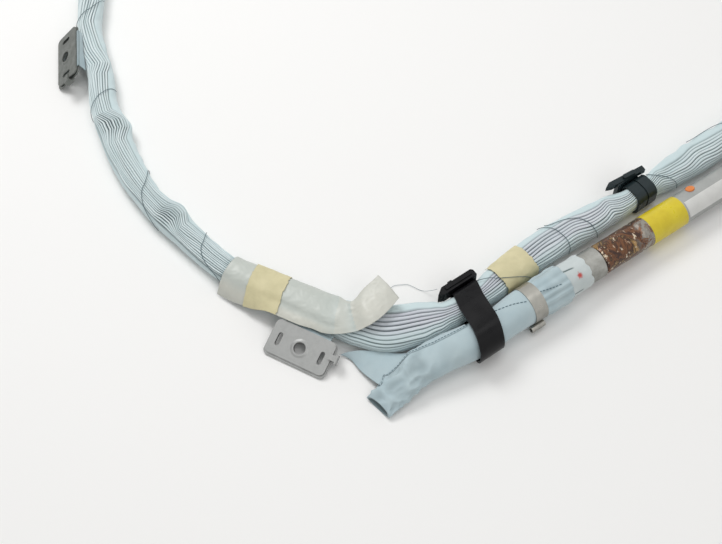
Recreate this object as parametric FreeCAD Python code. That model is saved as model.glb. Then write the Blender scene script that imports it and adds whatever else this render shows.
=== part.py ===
import FreeCAD, Part
import math
import os

# A side curtain airbag as it lies on a table: a pleated cushion bundle, the fill sleeve
# clamped on a gas inflator, two sheet steel brackets, two plastic clips, film and tapes.
# Millimetres, +Z up. Places are first worked out round a point on the table, and at the end
# the whole part is moved so that its origin is the middle of its footprint, on the table.

V = FreeCAD.Vector
UP = V(0, 0, 1)

# Small gaps kept between soft pieces, and between every piece and the table.
FABRIC_CLEARANCE = 0.3
FLOOR_CLEARANCE = 0.3

# Wall of the two plastic clips, which carries the cushion where they go round it.
CLIP_WALL = 2.0
CARRIED = FLOOR_CLEARANCE + CLIP_WALL + FABRIC_CLEARANCE

# Folded cushion. Each stop along its middle line gives x, y, the width of the bundle, how
# high its underside lies, and the two section angles (degrees from the far side) between
# which the pleats lie.
CUSHION_STOPS = [
    (-291, 476, 20, 0.0, 206, 60),
    (-290, 460, 27, 0.0, 206, 60),
    (-289, 395, 27, 0.0, 206, 60),
    (-287, 330, 27, 0.0, 206, 58),
    (-285, 294, 25, 0.0, 206, 56),
    (-278, 261, 27, 0.0, 200, 52),
    (-267, 227, 27, 0.0, 190, 50),
    (-261, 193, 28, 0.0, 176, 46),
    (-250, 162, 30, 0.0, 162, 40),
    (-237, 131, 31, 0.0, 154, 38),
    (-223, 103, 29, 0.0, 150, 36),
    (-207, 78, 26, 0.0, 148, 36),
    (-188, 56, 28, 0.0, 150, 36),
    (-168, 36, 27, 0.0, 154, 40),
    (-128, -2, 25, 0.0, 166, 52),
    (-85, -26, 30, 0.0, 184, 60),
    (-36, -50, 34, 0.0, 200, 64),
    (0, -64, 42, 0.0, 206, 66),
    (24, -68, 47, 0.0, 206, 68),
    (52, -63, 43, 0.6, 206, 70),
    (68, -59.3, 35, 1.8, 206, 74),
    (79.5, -55.7, 26, CARRIED, 206, 80),
    (88.9, -50.2, 24.4, CARRIED, 206, 84),
    (99.9, -42.3, 24.4, CARRIED, 206, 84),
    (110.8, -34.5, 24.4, CARRIED, 206, 82),
    (126, -20, 29, 1.4, 206, 76),
    (147, -2, 32, 0.4, 206, 66),
    (175, 21, 34, 0.2, 206, 62),
    (210, 43, 33, 0.4, 206, 64),
    (238, 60, 28, 1.4, 206, 70),
    (259.6, 72.3, 19.6, CARRIED, 206, 78),
    (269.2, 79.5, 19.6, CARRIED, 206, 78),
    (278.8, 86.8, 19.6, CARRIED, 206, 78),
    (300, 103, 29, 1.0, 206, 76),
    (333, 127, 33, 0.0, 206, 74),
    (366, 151, 32, 0.0, 206, 74),
    (420, 186, 30, 0.0, 206, 78),
    (452, 206, 28, 0.0, 206, 80),
    (466, 215, 20, 0.0, 206, 80),
]
CUSHION_HEIGHT = 24.0
PLEATS = 12
PLEAT_DEPTH = 2.0
STATION_STEP = 9.0
TOP_ROUNDNESS = 2.5
FOOT_ROUNDNESS = 3.0
FULL_TURN = 360.0
# The pleats sway from side to side. Each stretch: from, to, how far they lean, wave length.
SWAYS = [(80.0, 560.0, 6.0, 52.0), (840.0, 1200.0, 6.0, 40.0)]
SWAY_EASE = 60.0
# At two buckles the bundle bulges and its pleats jump sideways: place, bulge, jump in degrees.
BUCKLES = [(336.0, 3.5, 20.0), (455.0, 4.5, 18.0)]
BUCKLE_REACH = 13.0

# Gas inflator, a turned part. Distances along its axis run from the stained chamber's end.
INFLATOR_START = (226.5, 4.1)
INFLATOR_TURN = 34.8
INFLATOR_DIA = 30.0
CHAMBER_START = -5.0
CHAMBER_LENGTH = 58.0
CHAMBER_ROUND = 3.0
GROOVE_PLACE = 12.0
GROOVE_DEPTH = 0.7
GROOVE_WIDTH = 3.0
NECK_DIA = 31.0
NECK_LENGTH = 95.0
NECK_CHAMFER = 1.2
DIFFUSER_DIA = 24.0
DIFFUSER_LENGTH = 28.0
DIFFUSER_CHAMFER = 2.0
PORT_DIA = 3.6
PORT_ROWS = 2
PORT_PITCH = 9.0
BOTTLE_LENGTH = 206.0
BOTTLE_ROUND = 4.0
LABEL_THICK = 0.25
LABEL_GAP = 0.02
LABEL_LENGTH = 42.0
ID_LABEL_GAP = 2.0
ID_LABEL_LENGTH = 72.0
ID_LABEL_SPAN = 64.0
ID_LABEL_TURN = 50.5
PLUG_DIA = 9.0
PLUG_HEIGHT = 0.9
PLUG_SEAT = 1.2
PLUG_CHAMFER = 0.4
PLUG_DISTANCE = 113.5
PLUG_TURN = 120.0
CLOSURE_DIA = 21.0
CLOSURE_STEP = 1.0
CLOSURE_LENGTH = 8.0
SOCKET_DIA = 19.0
SOCKET_LENGTH = 14.0
SOCKET_BORE = 12.0
SOCKET_DEPTH = 11.0
SOCKET_CHAMFER = 0.6
PIN_DIA = 1.0
PIN_SPACING = 3.4
PIN_LENGTH = 5.0
BOTTLE_START = CHAMBER_START + CHAMBER_LENGTH
BOTTLE_END = BOTTLE_START + BOTTLE_LENGTH
SOCKET_START = BOTTLE_END + CLOSURE_LENGTH
SOCKET_FLOOR = SOCKET_START + SOCKET_LENGTH - SOCKET_DEPTH

# Fill sleeve. Each stop of its flat tail: x, y, half its width, half its height, how high its
# underside lies and how deep its creases are.
SLEEVE_TAIL = [
    (15.0, -143.5, 14.5, 3.4, 0.4, 0.0),
    (25.5, -133.5, 15.6, 6.0, 0.6, 0.8),
    (36.7, -123.6, 16.4, 9.2, 0.9, 1.6),
    (50.0, -111.2, 16.8, 12.2, 1.3, 1.6),
    (61.0, -104.4, 16.8, 13.4, 1.7, 1.0),
    (74.0, -97.4, 16.8, 14.4, 2.2, 0.6),
    (101.0, -85.0, 16.2, 15.6, CARRIED, 0.0),
    (127.5, -66.4, 16.2, 16.1, CARRIED, 0.0),
]
SLEEVE_SIDES = 20
SLEEVE_MOUTH_WALL = 1.5
# Its round end on the neck. Each stop: distance from the clamp, radius and gather depth.
SLEEVE_SEAT = 17.3
SLEEVE_ROUND_END = [
    (-9.0, SLEEVE_SEAT, 0.0),
    (0.0, SLEEVE_SEAT, 0.0),
    (9.0, SLEEVE_SEAT, 0.0),
    (16.0, SLEEVE_SEAT + 1.2, 1.0),
    (23.0, SLEEVE_SEAT + 0.6, 0.3),
    (30.0, SLEEVE_SEAT + 1.3, 0.9),
    (38.0, SLEEVE_SEAT + 0.9, 0.4),
]
NECK_CLEARANCE = 0.4
INNER_SLEEVE_WALL = 0.8
INNER_SLEEVE_LENGTH = 28.0
INNER_SLEEVE_OVERHANG = 24.0
CLAMP_INSET = 14.0
CLAMP_DISTANCE = NECK_LENGTH - CHAMBER_START - CLAMP_INSET
CLAMP_WIDTH = 14.0
CLAMP_THICK = 0.9
CLAMP_PIN_DIA = 6.4
CLAMP_PIN_BORE = 4.0
CLAMP_PIN_LENGTH = 15.0
CLAMP_PIN_TURN = -32.0
CLAMP_PIN_OVERHANG = 5.0

# Throat panel, the fabric between cushion and sleeve: its free left edge, places along the
# cushion's middle line, and how far up the sleeve's far side its seam lies (degrees).
THROAT_THICK = 0.5
THROAT_GAP = 0.6
THROAT_CUSHION_GAP = 2.0
THROAT_CUSHION_ANGLE = 186.0
THROAT_SAG = 1.0
THROAT_EDGE = [(-19.2, -89.5, 2.2), (-9.5, -94.5, 2.2), (-2.9, -103.5, 3.0), (5.7, -113.3, 5.0)]
THROAT_PLACES = [(8, -66), (34, -67), (52, -63), (66, -59.5), (84, -52.5)]
THROAT_SEAM = [18, 14, 12, 12, 12, 14]

# Sheet steel brackets: two plates with a fabric tab clamped between them. The fixing hole
# lies a little nearer to the long edge that rests on the table.
BRACKET_LENGTH = 61.0
BRACKET_WIDTH = 33.0
BRACKET_HOLE_SHIFT = 1.5
BRACKET_THICK = 1.5
BRACKET_CORNER = 5.0
BRACKET_HOLE = 11.5
BRACKET_RIM_DIA = 18.0
BRACKET_RIM_TOP_DIA = 14.0
BRACKET_RIM_HEIGHT = 1.0
BRACKET_SLOT = (12.8, 4.4)
BRACKET_SLOT_PITCH = 43.6
BACK_PLATE_MARGIN = 2.4
HOOK_WIDTH = 9.0
HOOK_LIP_WIDTH = 5.4
HOOK_REACH = 5.0
HOOK_ROOT = 4.0
HOOK_GAP = 1.5
TAB_THICK = 0.8
TAB_LENGTH = 46.0
TAB_EDGE = 5.5
TAB_OVERHANG = 1.8
TAB_GAP = 0.5
# Places of the two brackets: x and y of the fixing hole, turn and tilt in degrees.
MIDDLE_BRACKET = (-55.6, -86.7, -27.5, 20.0)
END_BRACKET = (-303.0, 249.5, -83.6, 48.0)
# Their tabs' second leg: its length and its slope above the level.
MIDDLE_TAB_LEG = (14.0, -12.0)
END_TAB_LEG = (11.0, -62.0)

# Cover film, laid over the bundle. Each row gives its distance from the start, the section
# angle of its far edge, and how far out and how high its near hem hangs.
FILM_THICK = 0.5
FILM_GAP = 1.2
FILM_PLACE = (-122.5, -6.2)
FILM_NEAR_ANGLE = 140.0
FILM_COLUMNS = 8
FILM_ROWS = [
    (0, -8, 10.0, 2.0),
    (14, -8, 10.0, 4.0),
    (28, -8, 9.5, 7.5),
    (40, -8, 9.0, 11.0),
    (52, -5, 8.8, 16.2),
    (64, 0, 8.5, 17.4),
    (76, 6, 8.0, 17.6),
    (88, 14, 7.0, 17.6),
    (99, 25, 5.5, 17.6),
    (110, 40, 4.5, 18.2),
]
# The flap at its right end stands up. Each row: far corner and near corner.
FILM_FLAP = [
    (V(-8.5, -48.0, 27.4), V(-14.0, -78.3, 22.2)),
    (V(1.0, -38.5, 30.5), V(6.0, -75.0, 29.5)),
    (V(9.0, -31.5, 33.5), V(21.5, -63.5, 31.5)),
    (V(15.8, -25.0, 36.0), V(34.8, -47.5, 33.0)),
]
FLAP_CURL = 2.0

# Masking tapes: one on the film, one on the cushion beyond the strap.
TAPE_THICK = 0.4
TAPE_GAP = 0.5
WRAP_TAPE_SPAN = (28.0, 64.0)
CUSHION_TAPE_PLACE = (126, -19)
CUSHION_TAPE_WIDTH = 38.0

# Strap, the plastic clip round cushion and sleeve. Its loop lies in an upright plane that
# runs across the bundle; distances in it are from the place on the strap's far side.
STRAP_PLACE = (95.5, -32.8)
STRAP_ACROSS = -70.0
STRAP_SKEW = 35.7
STRAP_WIDTH = 27.0
STRAP_GAP = 0.5
STRAP_CUSHION = (10.8, 25.8)
STRAP_SLEEVE = (48.9, 17.5)
STRAP_CORNER = 8.6
STRAP_SHOULDER = 68.0
STRAP_FLAT = 5.0
# Its fixing bar on the far side: from, to, depth, foot and top, and the length of its point.
HEAD_SPAN = (-21.0, 16.5)
HEAD_POINT = 5.5
HEAD_DEPTH = 7.8
HEAD_FOOT = 15.0
HEAD_TOP = 28.0
HEAD_CHAMFER = 2.0
HEAD_RIB = (3.0, 1.4)
HEAD_NUB = (-10.5, 4.5, 2.0)

# Second clip round the cushion, with a groove between its two ribs.
CLIP_PLACE = (264.9, 85.3)
CLIP_TURN = 37.0
CLIP_WIDTH = 23.4
CLIP_GAP = 0.5
CLIP_CUSHION = (7.2, 20.0)
CLIP_CORNER = 7.5
CLIP_GROOVE = 1.6
CLIP_GROOVE_DEPTH = 1.2
# Its base bar: turned a little against the clip, with a foot that stands on the clip's side.
BASE_SPAN = (-30.0, 15.5)
BASE_TURN = -6.0
BASE_DEPTH = 5.6
BASE_THICK = 5.5
BASE_TOP = 30.5
BASE_POINT = 6.0
BASE_FOOT = 11.0
BASE_FOOT_SPAN = (-18.0, 9.0)
BASE_FOOT_DEPTH = 4.0
BOSS_LENGTH = 10.0
BOSS_DIA = 4.4
BOSS_HEIGHT = 2.4


def blend(a, b, share):
    """A value part of the way from a to b."""
    return a + (b - a) * share


def signed_power(value, power):
    """A power that keeps the sign, for rounded box sections."""
    return math.copysign(abs(value) ** power, value)


def smooth_line(points):
    """One smooth curve through the given points."""
    curve = Part.BSplineCurve()
    curve.interpolate(Points=points)
    return curve


def row_curve(points):
    """A smooth curve through points that are evenly spaced in its own measure."""
    curve = Part.BSplineCurve()
    last = len(points) - 1
    curve.interpolate(Points=points, Parameters=[i / last for i in range(last + 1)])
    return curve.toShape()


def closed_solid(faces):
    """Sew faces that share their edges into one solid."""
    group = Part.makeCompound(faces)
    group.sewShape(0.001)
    solid = Part.Solid(group.Shells[0])
    if solid.Volume < 0:
        solid.reverse()
    return solid


def bundle_solid(rings):
    """A solid whose surface runs through closed rings of points, with flat ends."""
    lines = [row_curve(list(column)) for column in zip(*rings)]
    faces = [Part.makeRuledSurface(a, b, 1) for a, b in zip(lines, lines[1:] + lines[:1])]
    for ring in (rings[0], rings[-1]):
        faces.append(Part.Face(Part.makePolygon(ring + ring[:1])))
    return closed_solid(faces)


def sheet_normals(rows):
    """The outward direction at each point of a sheet given as rows of points."""
    last_row = len(rows) - 1
    last_column = len(rows[0]) - 1
    normals = []
    for i, row in enumerate(rows):
        line = []
        for j in range(last_column + 1):
            along = rows[min(i + 1, last_row)][j] - rows[max(i - 1, 0)][j]
            across = row[min(j + 1, last_column)] - row[max(j - 1, 0)]
            line.append(across.cross(along).normalize())
        normals.append(line)
    return normals


def sheet_solid(rows, thickness):
    """A thin solid: a sheet through rows of points, thickened outwards."""
    normals = sheet_normals(rows)
    outer = [[p + n * thickness for p, n in zip(*pair)] for pair in zip(rows, normals)]
    inner_lines = [row_curve(list(column)) for column in zip(*rows)]
    outer_lines = [row_curve(list(column)) for column in zip(*outer)]
    faces = []
    for lines in (inner_lines, outer_lines):
        faces += [Part.makeRuledSurface(a, b, 1) for a, b in zip(lines, lines[1:])]
    for side in (0, -1):
        faces.append(Part.makeRuledSurface(inner_lines[side], outer_lines[side], 1))
    for end in (0, -1):
        for j in range(len(rows[0]) - 1):
            below = Part.makeLine(rows[end][j], rows[end][j + 1])
            above = Part.makeLine(outer[end][j], outer[end][j + 1])
            faces.append(Part.makeRuledSurface(below, above, 1))
    return closed_solid(faces)


class Bundle:
    """The cushion's middle line, and its section anywhere along it."""

    def __init__(self):
        points = [V(stop[0], stop[1], 0) for stop in CUSHION_STOPS]
        self.curve = smooth_line(points)
        self.edge = self.curve.toShape()
        self.length = self.edge.Length
        self.marks = [self.curve.parameter(p) for p in points]

    def distance_at(self, x, y):
        """How far along the middle line a place lies."""
        return self.curve.length(0, self.curve.parameter(V(x, y, 0)))

    def stop_values(self, parameter):
        """Width, foot height and the pleats' two angles, blended between two stops."""
        k = 0
        while k < len(self.marks) - 2 and self.marks[k + 1] < parameter:
            k += 1
        share = (parameter - self.marks[k]) / (self.marks[k + 1] - self.marks[k])
        share = share * share * (3 - 2 * share)
        before = CUSHION_STOPS[k][2:]
        after = CUSHION_STOPS[k + 1][2:]
        return [blend(a, b, share) for a, b in zip(before, after)]

    def at(self, distance):
        """Place, side direction and the stops' values at a distance."""
        distance = min(max(distance, 0.0), self.length)
        parameter = self.edge.getParameterByLength(distance)
        here = self.edge.valueAt(parameter)
        ahead = self.edge.tangentAt(parameter)
        side = UP.cross(ahead)
        return [here, side] + self.stop_values(parameter)

    def sway(self, distance):
        """How far the pleats lean round the section, in degrees."""
        lean = 0.0
        for start, end, angle, length in SWAYS:
            share = min(1.0, max(0.0, min(distance - start, end - distance) / SWAY_EASE))
            lean += angle * share * math.sin(2 * math.pi * distance / length)
        for place, height, jump in BUCKLES:
            lean -= jump * math.exp(-abs(distance - place) / BUCKLE_REACH)
        return lean

    def bulge(self, distance):
        """How far a buckle pushes the inner side out."""
        total = 0.0
        for place, height, jump in BUCKLES:
            total += height * math.exp(-((distance - place) / BUCKLE_REACH) ** 2)
        return total

    def point(self, distance, angle, offset):
        """A point of the section: angle 0 far side, 90 top, 180 near side, plus an offset."""
        here, side, width, foot = self.at(distance)[:4]
        turn = math.radians(angle)
        roundness = TOP_ROUNDNESS if math.sin(turn) > 0 else FOOT_ROUNDNESS
        half_width = width / 2 + offset
        if math.cos(turn) > 0:
            half_width += self.bulge(distance)
        half_height = CUSHION_HEIGHT / 2 + offset
        across = half_width * signed_power(math.cos(turn), 2 / roundness)
        rise = half_height * signed_power(math.sin(turn), 2 / roundness)
        height = max(foot + CUSHION_HEIGHT / 2 + rise, FLOOR_CLEARANCE)
        return here + side * across + UP * height

    def ring(self, distance):
        """The pleated section: fold edges, one smooth panel, a plain foot and side."""
        pleat_start, pleat_edge = self.at(distance)[4:]
        lean = self.sway(distance)
        points = []
        for k in range(2 * PLEATS + 1):
            share = k / (2 * PLEATS)
            angle = blend(pleat_start, pleat_edge, share)
            angle += lean * math.sin(math.pi * share)
            depth = -PLEAT_DEPTH if k % 2 else 0.0
            points.append(self.point(distance, angle, depth))
        for share in (0.35, 0.7, 1.0):
            points.append(self.point(distance, blend(pleat_edge, -12, share), 0.0))
        for angle in (-45, -90, -130):
            points.append(self.point(distance, angle, 0.0))
        for share in (0.35, 0.7):
            angle = blend(FULL_TURN - 130, pleat_start, share)
            points.append(self.point(distance, angle, 0.0))
        return points


def make_cushion(bundle):
    """The whole folded bag, one piece of fabric, closed plainly at both ends."""
    count = int(bundle.length / STATION_STEP)
    step = bundle.length / count
    return bundle_solid([bundle.ring(i * step) for i in range(count + 1)])


def laid_sheet(bundle, distances, angles, gap, thickness):
    """A sheet laid on the bundle between two places, over a range of section angles."""
    rows = []
    for distance in distances:
        rows.append([bundle.point(distance, angle, gap) for angle in angles])
    return sheet_solid(rows, thickness)


class Axis:
    """The inflator's axis, which drops a little from the clamp to the closed end."""

    def __init__(self):
        self.radius = INFLATOR_DIA / 2
        clamp_height = SLEEVE_SEAT + CLAMP_THICK + FABRIC_CLEARANCE + FLOOR_CLEARANCE
        end_height = self.radius + FLOOR_CLEARANCE
        run = CLAMP_DISTANCE + CHAMBER_LENGTH + BOTTLE_LENGTH
        self.drop = math.asin((clamp_height - end_height) / run)
        turn = math.radians(INFLATOR_TURN)
        flat = math.cos(self.drop)
        self.ahead = V(math.cos(turn) * flat, math.sin(turn) * flat, -math.sin(self.drop))
        self.near = V(math.sin(turn), -math.cos(turn), 0)
        self.up = self.near.cross(self.ahead) * -1
        if self.up.z < 0:
            self.up = self.up * -1
        x, y = INFLATOR_START
        height = clamp_height - CLAMP_DISTANCE * math.sin(self.drop)
        self.origin = V(x, y, height)

    def at(self, distance):
        """A point on the axis."""
        return self.origin + self.ahead * distance

    def rim(self, distance, radius, turn):
        """A point round the axis: turn 0 towards the near side, 90 up."""
        angle = math.radians(turn)
        out = self.near * math.cos(angle) + self.up * math.sin(angle)
        return self.at(distance) + out * radius

    def rod(self, start, end, radius):
        """A plain cylinder along the axis."""
        return Part.makeCylinder(radius, end - start, self.at(start), self.ahead)

    def tube(self, start, end, inner, outer):
        """A plain tube along the axis."""
        return self.rod(start, end, outer).cut(self.rod(start - 1, end + 1, inner))

    def turned(self, profile):
        """Revolve a closed outline given as distance and radius about the axis."""
        points = [self.at(a) + self.up * r for a, r in profile]
        face = Part.Face(Part.makePolygon(points + points[:1]))
        return face.revolve(self.origin, self.ahead, FULL_TURN)


def make_neck(axis):
    """The gas diffuser: a ported tube inside the sleeve and the wider neck it ends in."""
    neck = NECK_DIA / 2
    bore = DIFFUSER_DIA / 2
    shoulder = CHAMBER_START - NECK_LENGTH
    tip = shoulder - DIFFUSER_LENGTH
    body = axis.turned([
        (tip, 0),
        (tip, bore - DIFFUSER_CHAMFER),
        (tip + DIFFUSER_CHAMFER, bore),
        (shoulder - (neck - bore), bore),
        (shoulder, neck),
        (CHAMBER_START - NECK_CHAMFER, neck),
        (CHAMBER_START, neck - NECK_CHAMFER),
        (CHAMBER_START, 0),
    ])
    for row in range(PORT_ROWS):
        distance = tip + (row + 1) * PORT_PITCH
        start = axis.rim(distance, DIFFUSER_DIA, 45 + 90 * row)
        through = axis.at(distance) - start
        body = body.cut(Part.makeCylinder(PORT_DIA / 2, 2 * DIFFUSER_DIA, start, through))
    return body


def make_chamber(axis):
    """The heat-stained chamber, with a rounded shoulder and a shallow rolled groove."""
    radius = INFLATOR_DIA / 2
    start = CHAMBER_START
    groove = BOTTLE_START - GROOVE_PLACE
    soft = CHAMBER_ROUND * 0.3
    return axis.turned([
        (start, 0),
        (start, radius - CHAMBER_ROUND),
        (start + soft, radius - soft),
        (start + CHAMBER_ROUND, radius),
        (groove - GROOVE_WIDTH, radius),
        (groove, radius - GROOVE_DEPTH),
        (groove + GROOVE_WIDTH, radius),
        (BOTTLE_START, radius),
        (BOTTLE_START, 0),
    ])


def plug_seat(axis):
    """Foot of the fill plug inside the bottle's wall, and the direction it faces."""
    foot = axis.rim(PLUG_DISTANCE, INFLATOR_DIA / 2 - PLUG_SEAT, PLUG_TURN)
    return foot, (foot - axis.at(PLUG_DISTANCE)).normalize()


def make_bottle(axis):
    """The gas bottle from the chamber to its rounded closed end, with the plug's seat."""
    body = axis.rod(BOTTLE_START, BOTTLE_END, INFLATOR_DIA / 2)
    rims = [e for e in body.Edges if e.Curve.TypeId == "Part::GeomCircle"]
    rims.sort(key=lambda e: (e.Curve.Center - axis.origin).dot(axis.ahead))
    body = body.makeFillet(BOTTLE_ROUND, [rims[-1]])
    foot, out = plug_seat(axis)
    return body.cut(Part.makeCylinder(PLUG_DIA / 2 + LABEL_GAP, 2 * PLUG_SEAT, foot, out))


def label_shell(axis, start, length, turn, span):
    """A thin label that lies on the bottle over part of its girth."""
    inner = INFLATOR_DIA / 2 + LABEL_GAP
    outer = inner + LABEL_THICK
    if span >= FULL_TURN:
        return axis.tube(start, start + length, inner, outer)
    half = span / 2
    arcs = []
    for radius in (inner, outer):
        ends = [axis.rim(start, radius, turn + k * half) for k in (-1, 0, 1)]
        arcs.append((Part.Arc(*ends).toShape(), ends[0], ends[2]))
    wire = Part.Wire([
        arcs[0][0],
        Part.makeLine(arcs[0][2], arcs[1][2]),
        arcs[1][0],
        Part.makeLine(arcs[1][1], arcs[0][1]),
    ])
    return Part.Face(wire).extrude(axis.ahead * length)


def make_plug(axis):
    """The fill plug welded into the bottle: a low disc with a chamfered rim."""
    foot, out = plug_seat(axis)
    radius = PLUG_DIA / 2
    straight = PLUG_SEAT + PLUG_HEIGHT - PLUG_CHAMFER
    disc = Part.makeCylinder(radius, straight, foot, out)
    rim = Part.makeCone(radius, radius - PLUG_CHAMFER, PLUG_CHAMFER, foot + out * straight, out)
    return disc.fuse(rim)


def make_closure(axis):
    """The stepped closing disc at the far end of the bottle."""
    radius = CLOSURE_DIA / 2
    step = BOTTLE_END + CLOSURE_LENGTH / 2
    return axis.turned([
        (BOTTLE_END, 0),
        (BOTTLE_END, radius),
        (step, radius),
        (step + CLOSURE_STEP, radius - CLOSURE_STEP),
        (SOCKET_START, radius - CLOSURE_STEP),
        (SOCKET_START, 0),
    ])


def make_socket(axis):
    """The plastic igniter socket: a cup that faces away from the bottle."""
    end = SOCKET_START + SOCKET_LENGTH
    outer = SOCKET_DIA / 2
    inner = SOCKET_BORE / 2
    return axis.turned([
        (SOCKET_START, 0),
        (SOCKET_START, outer - SOCKET_CHAMFER),
        (SOCKET_START + SOCKET_CHAMFER, outer),
        (end - SOCKET_CHAMFER, outer),
        (end, outer - SOCKET_CHAMFER),
        (end, inner),
        (SOCKET_FLOOR, inner),
        (SOCKET_FLOOR, 0),
    ])


def make_pins(axis):
    """The igniter's two contact pins, standing on the socket's floor."""
    pins = []
    for turn in (0, 180):
        base = axis.rim(SOCKET_FLOOR, PIN_SPACING / 2, turn)
        pins.append(Part.makeCylinder(PIN_DIA / 2, PIN_LENGTH, base, axis.ahead))
    return Part.makeCompound(pins)


class Tail:
    """The sleeve's flat tail: its sections lie in upright planes across its middle line."""

    def __init__(self):
        self.centres = []
        for x, y, half_width, half_height, foot, crease in SLEEVE_TAIL:
            self.centres.append(V(x, y, foot + half_height))

    def side(self, i):
        """Direction across the tail at a stop, towards the cushion."""
        ahead = self.centres[min(i + 1, len(self.centres) - 1)] - self.centres[max(i - 1, 0)]
        return UP.cross(V(ahead.x, ahead.y, 0)).normalize()

    def point(self, i, angle, offset):
        """A point of the section at a stop: angle 0 towards the cushion, 90 up."""
        half_width, half_height = SLEEVE_TAIL[i][2:4]
        turn = math.radians(angle)
        across = (half_width + offset) * signed_power(math.cos(turn), 0.9)
        rise = (half_height + offset) * signed_power(math.sin(turn), 0.9)
        return self.centres[i] + self.side(i) * across + UP * rise

    def ring(self, i, inset):
        """The whole section at a stop, with creases pressed in here and there."""
        crease = SLEEVE_TAIL[i][5]
        points = []
        for k in range(SLEEVE_SIDES):
            press = crease * (0.5 + 0.5 * math.sin(2.4 * k + 1.9 * i))
            points.append(self.point(i, FULL_TURN * k / SLEEVE_SIDES, -press - inset))
        return points


def round_ring(axis, distance, radius, gather):
    """A round section on the inflator's axis, every other fold drawn in."""
    ring = []
    for k in range(SLEEVE_SIDES):
        depth = gather if k % 2 else 0.0
        turn = FULL_TURN * (0.5 - k / SLEEVE_SIDES)
        ring.append(axis.rim(distance, radius - depth, turn))
    return ring


def make_sleeve(axis, tail):
    """The fabric fill sleeve: flat and open at its tail, round where the clamp holds it."""
    rings = [tail.ring(i, 0.0) for i in range(len(SLEEVE_TAIL))]
    for reach, radius, gather in SLEEVE_ROUND_END:
        rings.append(round_ring(axis, reach - CLAMP_DISTANCE, radius, gather))
    solid = bundle_solid(rings)
    mouth = [tail.ring(i, SLEEVE_MOUTH_WALL) for i in (0, 1)]
    step = (tail.centres[0] - tail.centres[1]).normalize()
    mouth[0] = [p + step for p in mouth[0]]
    solid = solid.cut(bundle_solid(mouth))
    shoulder = CHAMBER_START - NECK_LENGTH
    bore = NECK_DIA / 2 + NECK_CLEARANCE
    cone = (NECK_DIA - DIFFUSER_DIA) / 2
    solid = solid.cut(axis.rod(shoulder - cone - NECK_CLEARANCE, 0, bore))
    narrow = DIFFUSER_DIA / 2 + NECK_CLEARANCE
    solid = solid.cut(axis.rod(shoulder - DIFFUSER_LENGTH - NECK_CLEARANCE, 0, narrow))
    inner = bore + INNER_SLEEVE_WALL + FABRIC_CLEARANCE
    pocket = -INNER_SLEEVE_OVERHANG - INNER_SLEEVE_LENGTH - FABRIC_CLEARANCE
    return solid.cut(axis.rod(pocket, 0, inner))


def make_inner_sleeve(axis):
    """The pale heat-proof sleeve end over the neck, between chamber and fill sleeve."""
    inner = NECK_DIA / 2 + NECK_CLEARANCE
    end = -INNER_SLEEVE_OVERHANG
    return axis.tube(end - INNER_SLEEVE_LENGTH, end, inner, inner + INNER_SLEEVE_WALL)


def make_throat_panel(bundle, tail):
    """The fabric panel from the cushion's underside to the sleeve's seam."""
    first = [V(*corner) for corner in THROAT_EDGE]
    first.append(tail.point(1, THROAT_SEAM[0], THROAT_GAP))
    rows = [first]
    for i, (x, y) in enumerate(THROAT_PLACES):
        far = bundle.point(bundle.distance_at(x, y), THROAT_CUSHION_ANGLE, THROAT_CUSHION_GAP)
        near = tail.point(i + 2, THROAT_SEAM[i + 1], THROAT_GAP)
        row = []
        for k in range(len(first)):
            share = k / (len(first) - 1)
            sag = THROAT_SAG * math.sin(math.pi * share)
            row.append(far + (near - far) * share - UP * sag)
        rows.append(row)
    return sheet_solid(rows, THROAT_THICK)


def make_clamp(axis):
    """The clamp's steel band round the sleeve."""
    inner = SLEEVE_SEAT + FABRIC_CLEARANCE
    start = -CLAMP_DISTANCE - CLAMP_WIDTH / 2
    return axis.tube(start, start + CLAMP_WIDTH, inner, inner + CLAMP_THICK)


def make_clamp_pin(axis):
    """The rolled barrel at the band's ends, a short open tube beside the band."""
    radius = CLAMP_PIN_DIA / 2
    reach = SLEEVE_SEAT + FABRIC_CLEARANCE + CLAMP_THICK + radius
    start = -CLAMP_DISTANCE - CLAMP_WIDTH / 2 - CLAMP_PIN_OVERHANG
    base = axis.rim(start, reach, CLAMP_PIN_TURN)
    barrel = Part.makeCylinder(radius, CLAMP_PIN_LENGTH, base, axis.ahead)
    bore = Part.makeCylinder(
        CLAMP_PIN_BORE / 2, CLAMP_PIN_LENGTH + 2, base - axis.ahead, axis.ahead)
    return barrel.cut(bore)


def rounded_plate(length, width, corner, thickness):
    """A flat plate with round corners, its fixing hole's place at the origin."""
    corner_point = V(-length / 2, BRACKET_HOLE_SHIFT - width / 2, 0)
    block = Part.makeBox(length, width, thickness, corner_point)
    posts = [e for e in block.Edges if abs(e.tangentAt(e.FirstParameter).z) > 0.9]
    return block.makeFillet(corner, posts)


def slot_cutter(place_x):
    """A cutter for one slot with round ends, running across the plate."""
    length, width = BRACKET_SLOT
    depth = 20
    straight = length - width
    cutter = Part.makeBox(width, straight, depth, V(place_x - width / 2, -straight / 2, -10))
    for end in (-1, 1):
        centre = V(place_x, end * straight / 2, -10)
        cutter = cutter.fuse(Part.makeCylinder(width / 2, depth, centre))
    return cutter


def cut_openings(plate):
    """Take the fixing hole and the two slots out of a plate."""
    plate = plate.cut(Part.makeCylinder(BRACKET_HOLE / 2, 20, V(0, 0, -10)))
    for end in (-1, 1):
        plate = plate.cut(slot_cutter(end * BRACKET_SLOT_PITCH / 2))
    return plate


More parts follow.
